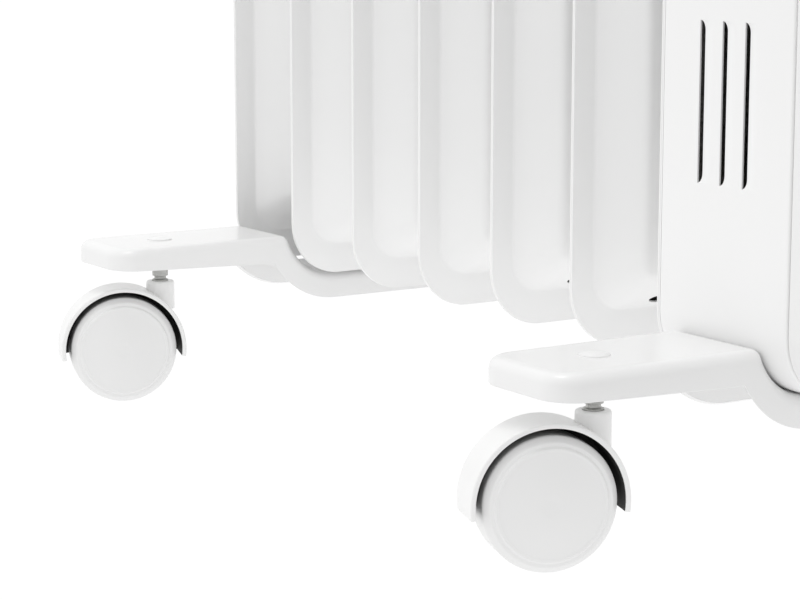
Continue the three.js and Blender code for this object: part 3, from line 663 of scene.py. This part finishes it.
def foot_skin():
    """The top and flanges of a pressed foot, one side of its middle at a time."""
    half = FOOT_WIDTH / 2
    tip = FOOT_TIP_RADIUS
    straight = [("level", y) for y in (124, 118, 112, 106, 100, 95, 90, 86, 82, 79, 77, 75)]
    bend = [("bend", t / 6) for t in range(7)]
    saddle = [("saddle", t / 12) for t in range(1, 13)]
    flat = [("flat", y) for y in (40, 30, 20, 10, 0)]
    middle = [*straight, *bend, *saddle, *flat]
    rings = []
    fillet_steps = 6
    for k in range(fillet_steps + 1):
        angle = math.pi / 2 * k / fillet_steps
        rings.append((FOOT_FILLET * (1 - math.sin(angle)), FOOT_FILLET * (1 - math.cos(angle))))
    rings.append((0.0, FOOT_FLANGE - 0.5))
    rings.append((0.25, FOOT_FLANGE))
    grid = []
    for inset, depth in rings:
        row = []
        for k in range(9):
            angle = math.pi / 2 * k / 8
            along = FOOT_REACH - tip + (tip - inset) * math.cos(angle)
            out = half - tip + (tip - inset) * math.sin(angle)
            y, z = foot_point(("level", along), depth)
            row.append((out, y, z))
        for station in middle:
            y, z = foot_point(station, depth)
            row.append((half - inset, y, z))
        grid.append(row)
    vertices, faces = [], []
    columns = len(grid[0])
    for sign_x in (-1, 1):
        for row in grid:
            vertices.extend((sign_x * x, y, z) for x, y, z in row)
    rows = len(grid)
    for side in (0, 1):
        base = side * rows * columns
        for r in range(rows - 1):
            for c in range(columns - 1):
                a = base + r * columns + c
                faces.append((a, a + 1, a + columns + 1, a + columns))
    other = rows * columns
    for c in range(columns - 1):
        faces.append((c, c + 1, other + c + 1, other + c))
    for r in range(rows - 1):
        a = r * columns
        faces.append((a, a + columns, other + a + columns, other + a))
    count = len(vertices)
    vertices.extend([(x, -y, z) for x, y, z in vertices])
    faces.extend([tuple(count + i for i in reversed(face)) for face in faces])
    return mesh_of(vertices, faces)


def outward_open(mesh, inner_point):
    """Turns an open skin's faces away from a point, in millimetres, inside it."""
    skin = bmesh.new()
    skin.from_mesh(mesh)
    skin.faces.ensure_lookup_table()
    score = 0.0
    middle = Vector(inner_point) * MM
    for face in skin.faces:
        score += face.calc_area() * face.normal.dot(face.calc_center_median() - middle)
    if score < 0:
        bmesh.ops.reverse_faces(skin, faces=skin.faces)
    skin.to_mesh(mesh)
    skin.free()
    return mesh


def foot(x, name, node):
    skin = outward_open(foot_skin(), (0, 0, FIN_BOTTOM - 15))
    mesh = moved(thickened(skin, FOOT_SHEET), shift(x, 0, 0))
    piece_of(mesh, name, "heater", FOOT_ENAMEL, node, inside=FOOT_ENAMEL, crease=50)


foot(REAR_FOOT_X, "pressed_rear_foot", "rear_foot_bracket")
foot(FRONT_FOOT_X, "pressed_front_foot", "front_foot_bracket")


# ---------- castors ----------

def castor_stem():
    """The plated grip stem, from inside the neck to the foot, with a ring groove."""
    top = FOOT_TOP + 0.3
    groove = 0.8
    profile = [
        (0.0, NECK_TOP - STEM_SEAT),
        (STEM_RADIUS, NECK_TOP - STEM_SEAT),
        (STEM_RADIUS, NECK_TOP + 0.5),
        (STEM_RADIUS - groove, NECK_TOP + 0.8),
        (STEM_RADIUS - groove, NECK_TOP + 1.7),
        (STEM_RADIUS, NECK_TOP + 2.0),
        (STEM_RADIUS, top - 0.02),
    ]
    return turned_z([*profile, (0.0, top - 0.02)], 40)


def stem_cap():
    """The enamelled dome that the stem makes on top of the foot."""
    seat = FOOT_TOP - 0.35
    dome_radius, dome_depth, dome_start = 13.0, 11.4, 69
    dome = arc(0, seat - dome_depth, dome_radius, dome_start, 90, 10)
    edge = dome[0][0] + 0.25
    profile = [(0.0, seat - 0.2), (edge, seat - 0.2), *dome]
    return turned_z(profile, 40)


def castor_hood():
    """A fender over the wheel: ring, web on its inner side, and the stem's neck."""
    inside = HOOD_BACK + HOOD_WEB
    section = [
        (HOOD_BACK, 3.0),
        (HOOD_BACK, HOOD_OUTER),
        (HOOD_FRONT, HOOD_OUTER),
        (HOOD_FRONT, HOOD_INNER),
        (inside, HOOD_INNER),
        (inside, 3.0),
    ]
    section = eased(section, {1: 2.4, 2: 0.6, 3: 0.55, 4: 1.2}, 6)
    steps = 56
    loops = []
    for k in range(steps + 1):
        angle = math.radians(-HOOD_END + (180 + 2 * HOOD_END) * k / steps)
        loops.append([(x, r * math.cos(angle), r * math.sin(angle)) for x, r in section])
    ring = loft(loops)
    reach = HOOD_OUTER - 2.5
    drop = -reach * math.sin(math.radians(HOOD_END))
    low_web = [(-reach, drop + 0.5), (-5, -7.5), (5, -7.5), (reach, drop + 0.5), (6, 6), (-6, 6)]
    web = prism_x(low_web, HOOD_BACK + 0.01, inside - 0.01)
    hub_radius, hub_face = 6.0, inside + 0.5
    hub = turned([(0.0, HOOD_BACK), (hub_radius, HOOD_BACK), (hub_radius, hub_face), (0.0, hub_face)], 32)
    fender = joined(ring, rounded(web, 0.4, 2), hub)
    fender = moved(fender, shift(0, -CASTOR_TRAIL, WHEEL_RADIUS))
    foot_z = WHEEL_RADIUS + 14
    profile = [(0.0, foot_z), (NECK_RADIUS, foot_z), (NECK_RADIUS, NECK_TOP), (0.0, NECK_TOP)]
    collar = turned_z(eased(profile, {2: 1.0}, 4), 48)
    past = HOOD_FRONT + 5
    space = turned([(0.0, inside), (HOOD_INNER, inside), (HOOD_INNER, past), (0.0, past)], 96)
    collar = cut(collar, moved(space, shift(0, -CASTOR_TRAIL, WHEEL_RADIUS)))
    bore = STEM_RADIUS + 0.2
    bottom, top = NECK_TOP - STEM_SEAT - 0.4, NECK_TOP + 1
    socket = [(0.0, bottom), (bore, bottom), (bore, top), (0.0, top)]
    return cut(joined(fender, collar), turned_z(socket, 40))


def paint_shade_in_wheel_space(fender, place):
    """Painted shade: the hood's inner wall and web, around the tread, get the near-black material in place of
    the shadow in the gap beside the wheel.
    """
    back = (place @ shift(0, -CASTOR_TRAIL, WHEEL_RADIUS)).inverted()
    turn = back.to_3x3()
    for face in fender.data.polygons:
        spot = back @ (face.center / MM)
        normal = turn @ face.normal
        radius = math.hypot(spot.y, spot.z)
        inward = normal.y * spot.y + normal.z * spot.z < -0.7 * radius
        on_ring = inward and HOOD_INNER - 1.5 < radius < HOOD_INNER + 0.1 and spot.x < HOOD_FRONT - 0.6
        on_web = normal.x > 0.8 and radius < HOOD_INNER and spot.x < HOOD_BACK + HOOD_WEB + 0.6
        if on_ring or on_web:
            face.material_index = 1


def castor_wheel():
    """A broad wheel: soft shoulders, a raised ring, and a flat disc with a faint dimple."""
    back = WHEEL_FACE - WHEEL_WIDTH
    band = WHEEL_FACE - 0.55
    profile = [
        (2.25, back),
        (WHEEL_RADIUS - 1.6, back),
        (WHEEL_RADIUS, back + 1.6),
        (WHEEL_RADIUS, WHEEL_FACE - 2.2),
        (WHEEL_RADIUS - 1.9, band),
        (WHEEL_RADIUS - 2.9, band),
        (WHEEL_RADIUS - 3.45, WHEEL_FACE),
        (WHEEL_RADIUS - 4.0, WHEEL_FACE),
        (WHEEL_RADIUS - 4.5, WHEEL_FACE - 0.22),
        (12.0, WHEEL_FACE - 0.16),
        (7.0, WHEEL_FACE - 0.08),
        (3.6, WHEEL_FACE - 0.06),
        (2.6, WHEEL_FACE - 0.28),
        (1.2, WHEEL_FACE - 0.36),
        (0.0, WHEEL_FACE - 0.38),
        (0.0, WHEEL_FACE - 3.4),
        (2.25, WHEEL_FACE - 3.4),
    ]
    shape = eased(profile, {1: 0.8, 2: 1.0, 3: 1.2, 4: 1.0, 5: 0.25, 6: 0.25, 7: 0.2}, 6)
    return moved(turned(shape, 120), shift(0, -CASTOR_TRAIL, WHEEL_RADIUS))


def castor_axle():
    start = HOOD_BACK + 0.2
    profile = [(0.0, start), (2.0, start), (2.0, WHEEL_FACE - 4), (0.0, WHEEL_FACE - 4)]
    return moved(turned(eased(profile, {1: 0.4}, 3), 32), shift(0, -CASTOR_TRAIL, WHEEL_RADIUS))


def castors():
    for end, x in (("rear", REAR_FOOT_X), ("front", FRONT_FOOT_X)):
        for hand, side in (("left", -1), ("right", 1)):
            turn = -CASTOR_TURN if side < 0 else 180 + CASTOR_TURN
            place = shift(x, side * STEM_Y, 0) @ Matrix.Rotation(math.radians(turn), 4, "Z")
            name = f"castor_{end}_{hand}"
            fork, roller = f"{name}_fork", f"{name}_roller"
            stem = moved(castor_stem(), place)
            piece_of(stem, f"{name}_pin", "heater", ZINC, f"{name}_stem", crease=30)
            piece_of(moved(stem_cap(), place), f"{name}_pin_cap", "heater", FOOT_ENAMEL, crease=50)
            hood = moved(castor_hood(), place)
            fender = piece_of(hood, f"{name}_fender", fork, PLASTIC, f"{name}_hood", inside=PAINTED_SHADE, crease=38)
            # painted shade on the hood's inner wall and web around the tread
            paint_shade_in_wheel_space(fender, place)
            piece_of(moved(castor_axle(), place), f"{name}_spindle", fork, BRIGHT, f"{name}_axle")
            piece_of(moved(castor_wheel(), place), f"{name}_tread", roller, WHEEL, f"{name}_wheel", crease=30)


castors()


# ---------- control housing ----------

LOUVRE_DEPTH = 0.45
LOUVRE_OPENING = 1.8
LOUVRE_LEAD = 1.6
LOUVRE_SPREAD = 5.9
LOUVRE_RAMP = 3.0
SHELL_SHEET = 0.6


def louvre_sink(x, z):
    """How far the housing's side is pressed in at x, and how far its cut edge stands back."""
    for n in range(LOUVRE_COUNT):
        start = HOUSING_X + LOUVRE_FIRST + n * LOUVRE_PITCH - LOUVRE_LEAD
        share = (x - start) / LOUVRE_SPREAD
        from_end = min(z - LOUVRE_BOTTOM, LOUVRE_BOTTOM + LOUVRE_LENGTH - z) / LOUVRE_RAMP
        if 0 <= share < 1 and from_end > 0:
            rise = math.sqrt(1 - (1 - min(from_end, 1)) ** 2)
            fall = math.cos(math.pi / 2 * share) ** 2
            return LOUVRE_DEPTH * rise * fall, LOUVRE_OPENING * rise * (1 - share)
    return 0.0, 0.0


def housing_columns():
    """(x, inset, pressed) along the housing: its rounded ends and each louvre's steps."""
    end = HOUSING_X + HOUSING_DEPTH
    columns = [(HOUSING_X - 0.3, 0.3, False), (HOUSING_X - 0.2, 0.1, False), (HOUSING_X, 0.0, False)]
    for n in range(LOUVRE_COUNT):
        start = HOUSING_X + LOUVRE_FIRST + n * LOUVRE_PITCH - LOUVRE_LEAD
        columns.append((start, 0.0, False))
        for share in (0, 0.06, 0.14, 0.24, 0.36, 0.48, 0.6, 0.72, 0.84, 0.94, 1.0):
            columns.append((start + share * LOUVRE_SPREAD, 0.0, True))
    columns.append((end - 0.9, 0.0, False))
    columns.extend([(end - 0.45, 0.12, False), (end - 0.12, 0.45, False), (end, 0.9, False)])
    return columns


def housing_rows():
    """Heights of the rows up a side: close together over the louvres and their ends."""
    top = LOUVRE_BOTTOM + LOUVRE_LENGTH
    ends = [0, 0.15, 0.35, 0.6, 0.9, 1.3, 1.8, 2.4, 3.0]
    rows = [85, 96]
    rows += [LOUVRE_BOTTOM + d for d in ends]
    rows += [LOUVRE_BOTTOM + 3 + (LOUVRE_LENGTH - 6) * k / 12 for k in range(1, 12)]
    rows += [top - d for d in reversed(ends)]
    rows += [165, 220, 300, 400, 500]
    return rows


def housing_band():
    rows = housing_rows()

    def ring(x, inset, pressed):
        corners = outline(inset)
        quarter = len(corners) // 4
        half = FIN_WIDTH / 2 - inset
        points = at_x(x, corners[:quarter])
        sinks = [louvre_sink(x + 1e-6, z) if pressed else (0.0, 0.0) for z in rows]
        points += [(x + slide, half - sink, z) for z, (sink, slide) in zip(rows, sinks)]
        points += at_x(x, corners[quarter:3 * quarter])
        points += [(x + slide, sink - half, z) for z, (sink, slide) in reversed(list(zip(rows, sinks)))]
        return points + at_x(x, corners[3 * quarter:])

    columns = housing_columns()
    loops = [ring(*column) for column in columns]
    torn = [i for i in range(len(columns) - 1) if columns[i + 1][2] and not columns[i][2]]
    middle = (HOUSING_X + HOUSING_DEPTH / 2, 0, (FIN_BOTTOM + FIN_TOP) / 2)
    skin = outward_open(loft(loops, caps=False, open_after=torn), middle)
    mesh = thickened(skin, SHELL_SHEET)
    # The shell's inner faces carry the near-black painted shade, so the louvre openings read dark.
    piece_of(mesh, "housing_band", "heater", ENAMEL, "control_housing", inside=PAINTED_SHADE, crease=32)


housing_band()


def front_cover():
    """The moulded front: rounded edge, control panel opening and gland hole."""
    straight = COVER_X + COVER_DEPTH - COVER_ROUND
    loops = [(COVER_X, 0.9), (COVER_X + 0.12, 0.45), (COVER_X + 0.45, 0.12), (COVER_X + 0.9, 0.0)]
    steps = 10
    for k in range(steps + 1):
        angle = math.pi / 2 * k / steps
        loops.append((straight + COVER_ROUND * math.sin(angle), COVER_ROUND * (1 - math.cos(angle))))
    outer = [at_x(x, outline(inset)) for x, inset in loops]
    inner_round = COVER_ROUND - COVER_WALL
    inner = [at_x(COVER_X - 1, outline(COVER_WALL))]
    for k in range(6):
        angle = math.pi / 2 * k / 5
        inset = COVER_WALL + inner_round * (1 - math.cos(angle))
        inner.append(at_x(straight + inner_round * math.sin(angle), outline(inset)))
    panel_low, panel_high = low("control_panel"), high("control_panel")
    gap = 0.3
    window = rounded_box(panel_low.y - gap, panel_high.y + gap, panel_low.z - gap, panel_high.z + gap, 8)
    gland_z = (low("cord_gland").z + high("cord_gland").z) / 2
    behind, ahead, hole_radius = FACE_X - 5, FACE_X + 1, 9.3
    hole = turned([(0.0, behind), (hole_radius, behind), (hole_radius, ahead), (0.0, ahead)], 48)
    hole = moved(hole, shift(0, 0, gland_z))
    shell = cut(loft(outer), loft(inner), prism_x(window, behind, ahead), hole)
    piece_of(shell, "moulded_front_cover", "heater", PLASTIC, "front_cover", crease=30)


front_cover()


# ---------- controls ----------

def plate_with_border(points_at, x0, x1, ease):
    """A plate along X whose front edge is rounded; points_at gives the outline at an inset."""
    loops = [at_x(x0, points_at(0))]
    for k in range(5):
        angle = math.pi / 2 * k / 4
        loops.append(at_x(x1 - ease * (1 - math.sin(angle)), points_at(ease * (1 - math.cos(angle)))))
    return loft(loops)


def control_panel():
    lo, hi = low("control_panel"), high("control_panel")

    def edge(inset):
        return rounded_box(lo.y + inset, hi.y - inset, lo.z + inset, hi.z - inset, 7.7 - inset)

    plate = plate_with_border(edge, lo.x, hi.x, 0.6)
    knob = middle_of("thermostat_knob")
    pilot = middle_of("pilot_light")
    frame_low, frame_high = low("switch_frame"), high("switch_frame")
    gap = 0.3
    behind, ahead = lo.x - 1, hi.x + 1

    def hole(radius, z):
        profile = [(0.0, behind), (radius, behind), (radius, ahead), (0.0, ahead)]
        return moved(turned(profile, 32), shift(0, 0, z))

    switch_hole = block(
        behind, ahead, frame_low.y - gap, frame_high.y + gap, frame_low.z - gap, frame_high.z + gap
    )
    plate = cut(plate, hole(3.6, knob.z), hole(4.3, pilot.z), switch_hole)
    piece_of(plate, "inset_control_panel", "heater", GREY, "control_panel", crease=30)
    scale_marks(hi.x, knob.z)


def middle_of(node):
    return (low(node) + high(node)) / 2


def scale_marks(x, centre_z):
    """A plain heat scale round the knob: thin raised strokes that grow longer."""
    strokes = []
    count = 13
    for n in range(count):
        turn = math.radians(-135 + 270 * n / (count - 1))
        long = n % 3 == 0
        height = 1.4 + 2.6 * n / (count - 1) + (0.8 if long else 0)
        width = 0.45 if long else 0.3
        stroke = block(x - 0.1, x + 0.22, -width, width, 22.6, 22.6 + height)
        place = shift(0, 0, centre_z) @ Matrix.Rotation(-turn, 4, "X")
        strokes.append(moved(stroke, place))
    piece_of(gathered(*strokes), "heat_scale_marks", "heater", PLASTIC)


def thermostat_knob():
    """A dial with a fluted skirt and a raised pointer bar."""
    back = low("thermostat_knob").x
    centre_z = middle_of("thermostat_spindle").z
    tip = high("thermostat_knob").x
    radius = 20
    flutes = 36
    around_steps = flutes * 6
    profile = [
        (radius - 0.6, back),
        (radius - 0.1, back + 0.5),
        (radius - 0.1, back + 3.6),
        (radius - 0.8, back + 4.6),
        (radius - 2.6, back + 5.6),
        (radius - 3.4, back + 6.6),
        (radius - 4.6, tip - 2.4),
        (radius - 5.2, tip - 1.1),
        (radius - 6.4, tip - 0.35),
        (radius - 8.0, tip - 0.2),
        (7.0, tip - 0.45),
        (0.6, tip - 0.6),
    ]
    loops = []
    for r, x in profile:
        fluted = back + 6.2 < x < tip - 0.9
        loop = []
        for s in range(around_steps):
            angle = 2 * math.pi * s / around_steps
            dent = 0.45 * (0.5 + 0.5 * math.cos(flutes * angle)) if fluted else 0.0
            loop.append((x, (r - dent) * math.sin(angle), (r - dent) * math.cos(angle)))
        loops.append(loop)
    dial = moved(loft(loops), shift(0, 0, centre_z))
    bar = block(back + 5, tip - 0.02, -1.5, 1.5, centre_z + 3.5, centre_z + 17.2)
    knob = gathered(dial, rounded(bar, 0.5, 3))
    piece_of(knob, "fluted_thermostat_knob", "thermostat_dial", PLASTIC, "thermostat_knob")
    mark = block(tip - 0.2, tip - 0.001, -0.5, 0.5, centre_z + 6, centre_z + 16.4)
    piece_of(mark, "knob_pointer_line", "thermostat_dial", GREY)


def rocker(node, body, strokes):
    """A rocker with two softly dished press faces, and its plain mark."""
    side_y = middle_of(node).y
    half_width = (high(node).y - low(node).y) / 2
    pivot = Vector((FACE_X + 0.6 - 4, side_y, middle_of("switch_frame").z))
    half = 6.8
    face = []
    for k in range(13):
        v = half - 2 * half * k / 12
        face.append((4.4 - 1.6 * math.cos(math.pi / 2 * v / half) ** 1.2, v))
    outline_points = [(-5, -half), (-5, half), *face]
    body_mesh = prism_y(outline_points, -half_width, half_width)
    body_mesh = rounded(body_mesh, 0.45, 3, 50)
    marks = []
    for n in range(strokes):
        offset = (n - (strokes - 1) / 2) * 1.8
        marks.append(block(3.2, 4.1, offset - 0.35, offset + 0.35, 2.6, 5.4))
    place = shift(*pivot) @ Matrix.Rotation(math.radians(-6), 4, "Y")
    piece_of(moved(body_mesh, place), f"shaped_{node}", body, PLASTIC, node, crease=30)
    piece_of(moved(gathered(*marks), place), f"{node}_mark", body, GREY)


def switch_frame():
    lo, hi = low("switch_frame"), high("switch_frame")
    mesh = plate_with_border(
        lambda inset: rounded_box(lo.y + inset, hi.y - inset, lo.z + inset, hi.z - inset, 1.6 - inset, 6),
        lo.x,
        hi.x,
        0.5,
    )
    pockets = []
    for node in ("power_rocker_low", "power_rocker_high"):
        y = middle_of(node).y
        z = middle_of("switch_frame").z
        pockets.append(block(hi.x - 14, hi.x + 1, y - 12.3, y + 12.3, z - 7.7, z + 7.7))
    piece_of(cut(mesh, *pockets), "switch_bezel", "heater", BLACK, "switch_frame", crease=30)


def pilot_light():
    lo, hi = low("pilot_light"), high("pilot_light")
    profile = [(0.0, lo.x), (4.0, lo.x), (4.0, hi.x - 1.9)]
    profile += [(4.0 * math.cos(a), hi.x - 1.9 + 1.9 * math.sin(a)) for a in (0.3, 0.6, 0.9, 1.2, 1.45)]
    profile.append((0.0, hi.x))
    lens = moved(turned(profile, 40), shift(0, 0, middle_of("pilot_light").z))
    piece_of(lens, "pilot_lens", "heater", AMBER, "pilot_light")


def cord_gland():
    """The rubber entry for the mains lead, with grip ridges on its collar."""
    z = middle_of("cord_gland").z
    x = FACE_X
    profile = [
        (4.2, x - 8), (9.0, x - 8), (9.0, x + 0.3), (12.5, x + 0.3), (12.5, x + 1.6), (11.7, x + 2.2),
        (9.0, x + 3.2), (9.2, x + 3.8), (8.0, x + 4.4), (8.2, x + 5.0), (7.2, x + 5.6), (7.4, x + 6.2),
        (6.4, x + 6.8), (6.4, x + 7.6), (5.9, x + 8.0), (4.2, x + 8.0),
    ]
    gland = moved(turned(profile, 56), shift(0, 0, z))
    piece_of(gland, "cord_entry_gland", "heater", BLACK, "cord_gland", crease=50)


control_panel()
thermostat_knob()
switch_frame()
rocker("power_rocker_low", "rocker_low", 1)
rocker("power_rocker_high", "rocker_high", 2)
pilot_light()
cord_gland()


# ---------- carry handle ----------

HANDLE_EASE = 3.2
HANDLE_WALL = 8
HANDLE_CORNER = 16
HANDLE_FOOT_CORNER = 4
HANDLE_GAP_CORNER = 9
HANDLE_GAP_BASE = 3
HANDLE_GAP_TOP = 29
HANDLE_FOOT_SHARE = 0.35  # the thin bottom bar is rounded less than the grip


def carry_handle():
    """A loop handle: its section runs round the outside, one face, the gap and back."""
    lo, hi = low("carry_handle"), high("carry_handle")
    length = (hi.y - lo.y) / 2

    def frame_loop(x, half, z0, z1, low_radius, high_radius):
        points = [
            *arc(half - low_radius, z0 + low_radius, low_radius, -90, 0, 8),
            *arc(half - high_radius, z1 - high_radius, high_radius, 0, 90, 8),
            *arc(-half + high_radius, z1 - high_radius, high_radius, 90, 180, 8),
            *arc(-half + low_radius, z0 + low_radius, low_radius, 180, 270, 8),
        ]
        return at_x(x, points)

    def around_outside(x, inset):
        raised = inset * HANDLE_FOOT_SHARE
        corners = HANDLE_FOOT_CORNER - raised, HANDLE_CORNER - inset
        return frame_loop(x, length - inset, lo.z + raised, hi.z - inset, *corners)

    def around_gap(x, grown):
        corner = HANDLE_GAP_CORNER + grown
        z0 = lo.z + HANDLE_GAP_BASE - grown * HANDLE_FOOT_SHARE
        z1 = lo.z + HANDLE_GAP_TOP + grown
        return frame_loop(x, length - HANDLE_WALL + grown, z0, z1, corner, corner)

    turn = []
    steps = 5
    for k in range(steps + 1):
        angle = math.pi / 2 * k / steps
        turn.append((HANDLE_EASE * (1 - math.cos(angle)), HANDLE_EASE * (1 - math.sin(angle))))
    loops = [around_outside(lo.x + x_in, inset) for x_in, inset in turn]
    loops += [around_outside(hi.x - x_in, inset) for x_in, inset in reversed(turn)]
    loops += [around_gap(hi.x - x_in, grown) for x_in, grown in turn]
    loops += [around_gap(lo.x + x_in, grown) for x_in, grown in reversed(turn)]
    piece_of(loft(loops, closed=True), "rounded_carry_handle", "heater", PLASTIC, "carry_handle", crease=60)


carry_handle()


# ---------- fastenings under the heater ----------

def u_bolt():
    lo = low("rear_foot_u_bolt")
    bend, bar_radius = 18, 2.5
    path = [(REAR_FOOT_X, bend, z) for z in (lo.z, 50, 70, 90)]
    path += [(REAR_FOOT_X, y, z) for y, z in arc(0, HEADER_HEIGHTS[0], bend, 0, 180, 28)]
    path += [(REAR_FOOT_X, -bend, z) for z in (90, 70, 50, lo.z)]
    piece_of(tube(path, bar_radius), "bent_u_bolt", "heater", BRIGHT, "rear_foot_u_bolt")


def wing_nut(hand):
    node = f"rear_foot_wing_nut_{hand}"
    lo, hi = low(node), high(node)
    y = (lo.y + hi.y) / 2
    barrel = turned_z([(2.8, hi.z - 6), (5.2, hi.z - 6), (4.6, hi.z), (2.8, hi.z)], 40)
    barrel = moved(barrel, shift(REAR_FOOT_X, y, 0))
    wings = []
    turns = [math.radians(degrees) for degrees in (20, 50, 80, 110, 140, 165)]
    for side in (-1, 1):
        tip = [(8.4 + 2.6 * math.sin(a), -4.6 + 3.2 * math.cos(a)) for a in turns]
        half_wing = [(4.2, -1.2), (8.0, -1.4), *tip, (7.0, -6.8), (4.2, -5.6)]
        shape = [(REAR_FOOT_X + side * out, hi.z + up) for out, up in half_wing]
        wings.append(rounded(prism_y(shape, y - 1, y + 1), 0.4, 2, 50))
    piece_of(gathered(barrel, *wings), f"wing_nut_{hand}", "heater", ZINC, node)


def foot_screw(hand):
    node = f"front_foot_screw_{hand}"
    lo, hi = low(node), high(node)
    y = (lo.y + hi.y) / 2
    head = [
        (0.0, lo.z + 1.2), (1.6, lo.z + 1.2), (1.9, lo.z), (3.6, lo.z), (4.4, lo.z + 0.8), (4.5, lo.z + 3.2),
        (2.4, lo.z + 3.2), (2.4, hi.z), (0.0, hi.z),
    ]
    screw = turned_z(head, 36)
    piece_of(moved(screw, shift(FRONT_FOOT_X, y, 0)), f"pan_head_screw_{hand}", "heater", ZINC, node)


u_bolt()
for hand in ("left", "right"):
    wing_nut(hand)
    foot_screw(hand)


# ---------- CAD pieces that stay ----------

KEPT = {
    "rear_foot_cradle": ZINC,
    "front_foot_nut_plate": ZINC,
    "heat_shield": ZINC,
    "element_boss": ZINC,
    "oil_filler_plug": ZINC,
    "thermal_cutout": ZINC,
    "heating_element": BRIGHT,
    "thermostat_spindle": BRIGHT,
    "thermostat_body": BLACK,
    "terminal_block": BLACK,
    "tip_over_switch": BLACK,
    "tip_over_weight": BRASS,
}
for node, material in KEPT.items():
    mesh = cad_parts[node].data
    mesh.materials.clear()
    mesh.materials.append(material)


# ---------- stage, light and camera ----------

FLOOR_HALF = 6000
SOFTBOX_PLACE = Vector((0.05, -0.45, 1.6))
SOFTBOX_AIM = Vector((0.05, -0.1, 0.1))
SOFTBOX_SIZE = 0.5
SOFTBOX_WATTS = 3.6
CAMERA_PLACE = Vector((631.5, -510.0, 186.9))
CAMERA_YAW = 57.36
CAMERA_PITCH = 9.73
CAMERA_LENS = 103.96
SENSOR_WIDTH = 36


def ramp(tree, value, low_value, high_value, start, end):
    """Eases from low_value to high_value as value goes from start to end."""
    node = tree.nodes.new("ShaderNodeMapRange")
    node.interpolation_type = "SMOOTHSTEP"
    node.inputs["From Min"].default_value = start
    node.inputs["From Max"].default_value = end
    node.inputs["To Min"].default_value = low_value
    node.inputs["To Max"].default_value = high_value
    tree.links.new(value, node.inputs["Value"])
    return node.outputs["Result"]


def combined(tree, first, second, operation):
    node = tree.nodes.new("ShaderNodeMath")
    node.operation = operation
    tree.links.new(first, node.inputs[0])
    tree.links.new(second, node.inputs[1])
    return node.outputs["Value"]


def floor():
    """A white lit floor that dims in front of the control end and to the left."""
    edge = FLOOR_HALF
    corners = [(-edge, -edge, 0), (edge, -edge, 0), (edge, edge, 0), (-edge, edge, 0)]
    mesh = mesh_of(corners, [(0, 1, 2, 3)])
    piece = shown(mesh, "studio_floor")
    m = Nodes("studio_floor")
    m.colour(m.noise(3, 2), (0.06, 0.06, 0.06), (0.08, 0.08, 0.08))
    split = m.tree.nodes.new("ShaderNodeSeparateXYZ")
    m.link(m.place, split.inputs["Vector"])
    forward = ramp(m.tree, split.outputs["X"], 0.96, 0.4, 0.19, 0.5)
    leftward = ramp(m.tree, split.outputs["Y"], 0.8, 1.0, -1.0, -0.3)
    m.link(combined(m.tree, forward, leftward, "MULTIPLY"), m.shader.inputs["Emission Strength"])
    m.set(Roughness=1.0, Specular_IOR_Level=0.0, Emission_Color=(1, 1, 1, 1))
    mesh.materials.append(m.material)


def sky():
    """Soft studio light, stronger from above and weaker from the control end."""
    world = bpy.data.worlds.new("studio")
    bpy.context.scene.world = world
    world.use_nodes = True
    tree = world.node_tree
    coords = tree.nodes.new("ShaderNodeTexCoord")
    split = tree.nodes.new("ShaderNodeSeparateXYZ")
    tree.links.new(coords.outputs["Generated"], split.inputs["Vector"])

    along = ramp(tree, split.outputs["X"], 0.92, 0.64, -0.2, 0.9)
    across = ramp(tree, split.outputs["Y"], 0.97, 1.0, -1.0, 0.2)
    above = ramp(tree, split.outputs["Z"], 0.0, 0.2, -0.2, 0.9)
    strength = combined(tree, combined(tree, along, across, "MULTIPLY"), above, "ADD")
    tree.links.new(strength, tree.nodes["Background"].inputs["Strength"])
    tree.nodes["Background"].inputs["Color"].default_value = (1, 1, 1, 1)


def softbox():
    """A square lamp overhead, whose reflection shows on the rounded edges."""
    lamp = bpy.data.lights.new("softbox", "AREA")
    lamp.size = SOFTBOX_SIZE
    lamp.energy = SOFTBOX_WATTS
    piece = bpy.data.objects.new("softbox", lamp)
    bpy.context.scene.collection.objects.link(piece)
    piece.location = SOFTBOX_PLACE
    piece.rotation_mode = "QUATERNION"
    piece.rotation_quaternion = (SOFTBOX_PLACE - SOFTBOX_AIM).to_track_quat("Z", "Y")


def camera():
    data = bpy.data.cameras.new("camera")
    piece = bpy.data.objects.new("camera", data)
    bpy.context.scene.collection.objects.link(piece)
    bpy.context.scene.camera = piece
    data.sensor_width = SENSOR_WIDTH
    data.lens = CAMERA_LENS
    data.clip_start = 0.01
    yaw, pitch = math.radians(CAMERA_YAW), math.radians(CAMERA_PITCH)
    back = Vector((math.sin(yaw) * math.cos(pitch), -math.cos(yaw) * math.cos(pitch), math.sin(pitch)))
    piece.location = CAMERA_PLACE * MM
    piece.rotation_mode = "QUATERNION"
    piece.rotation_quaternion = back.to_track_quat("Z", "Y")


floor()
sky()
softbox()
camera()
bpy.context.scene.view_settings.view_transform = "Standard"
bpy.context.scene.view_settings.look = "None"
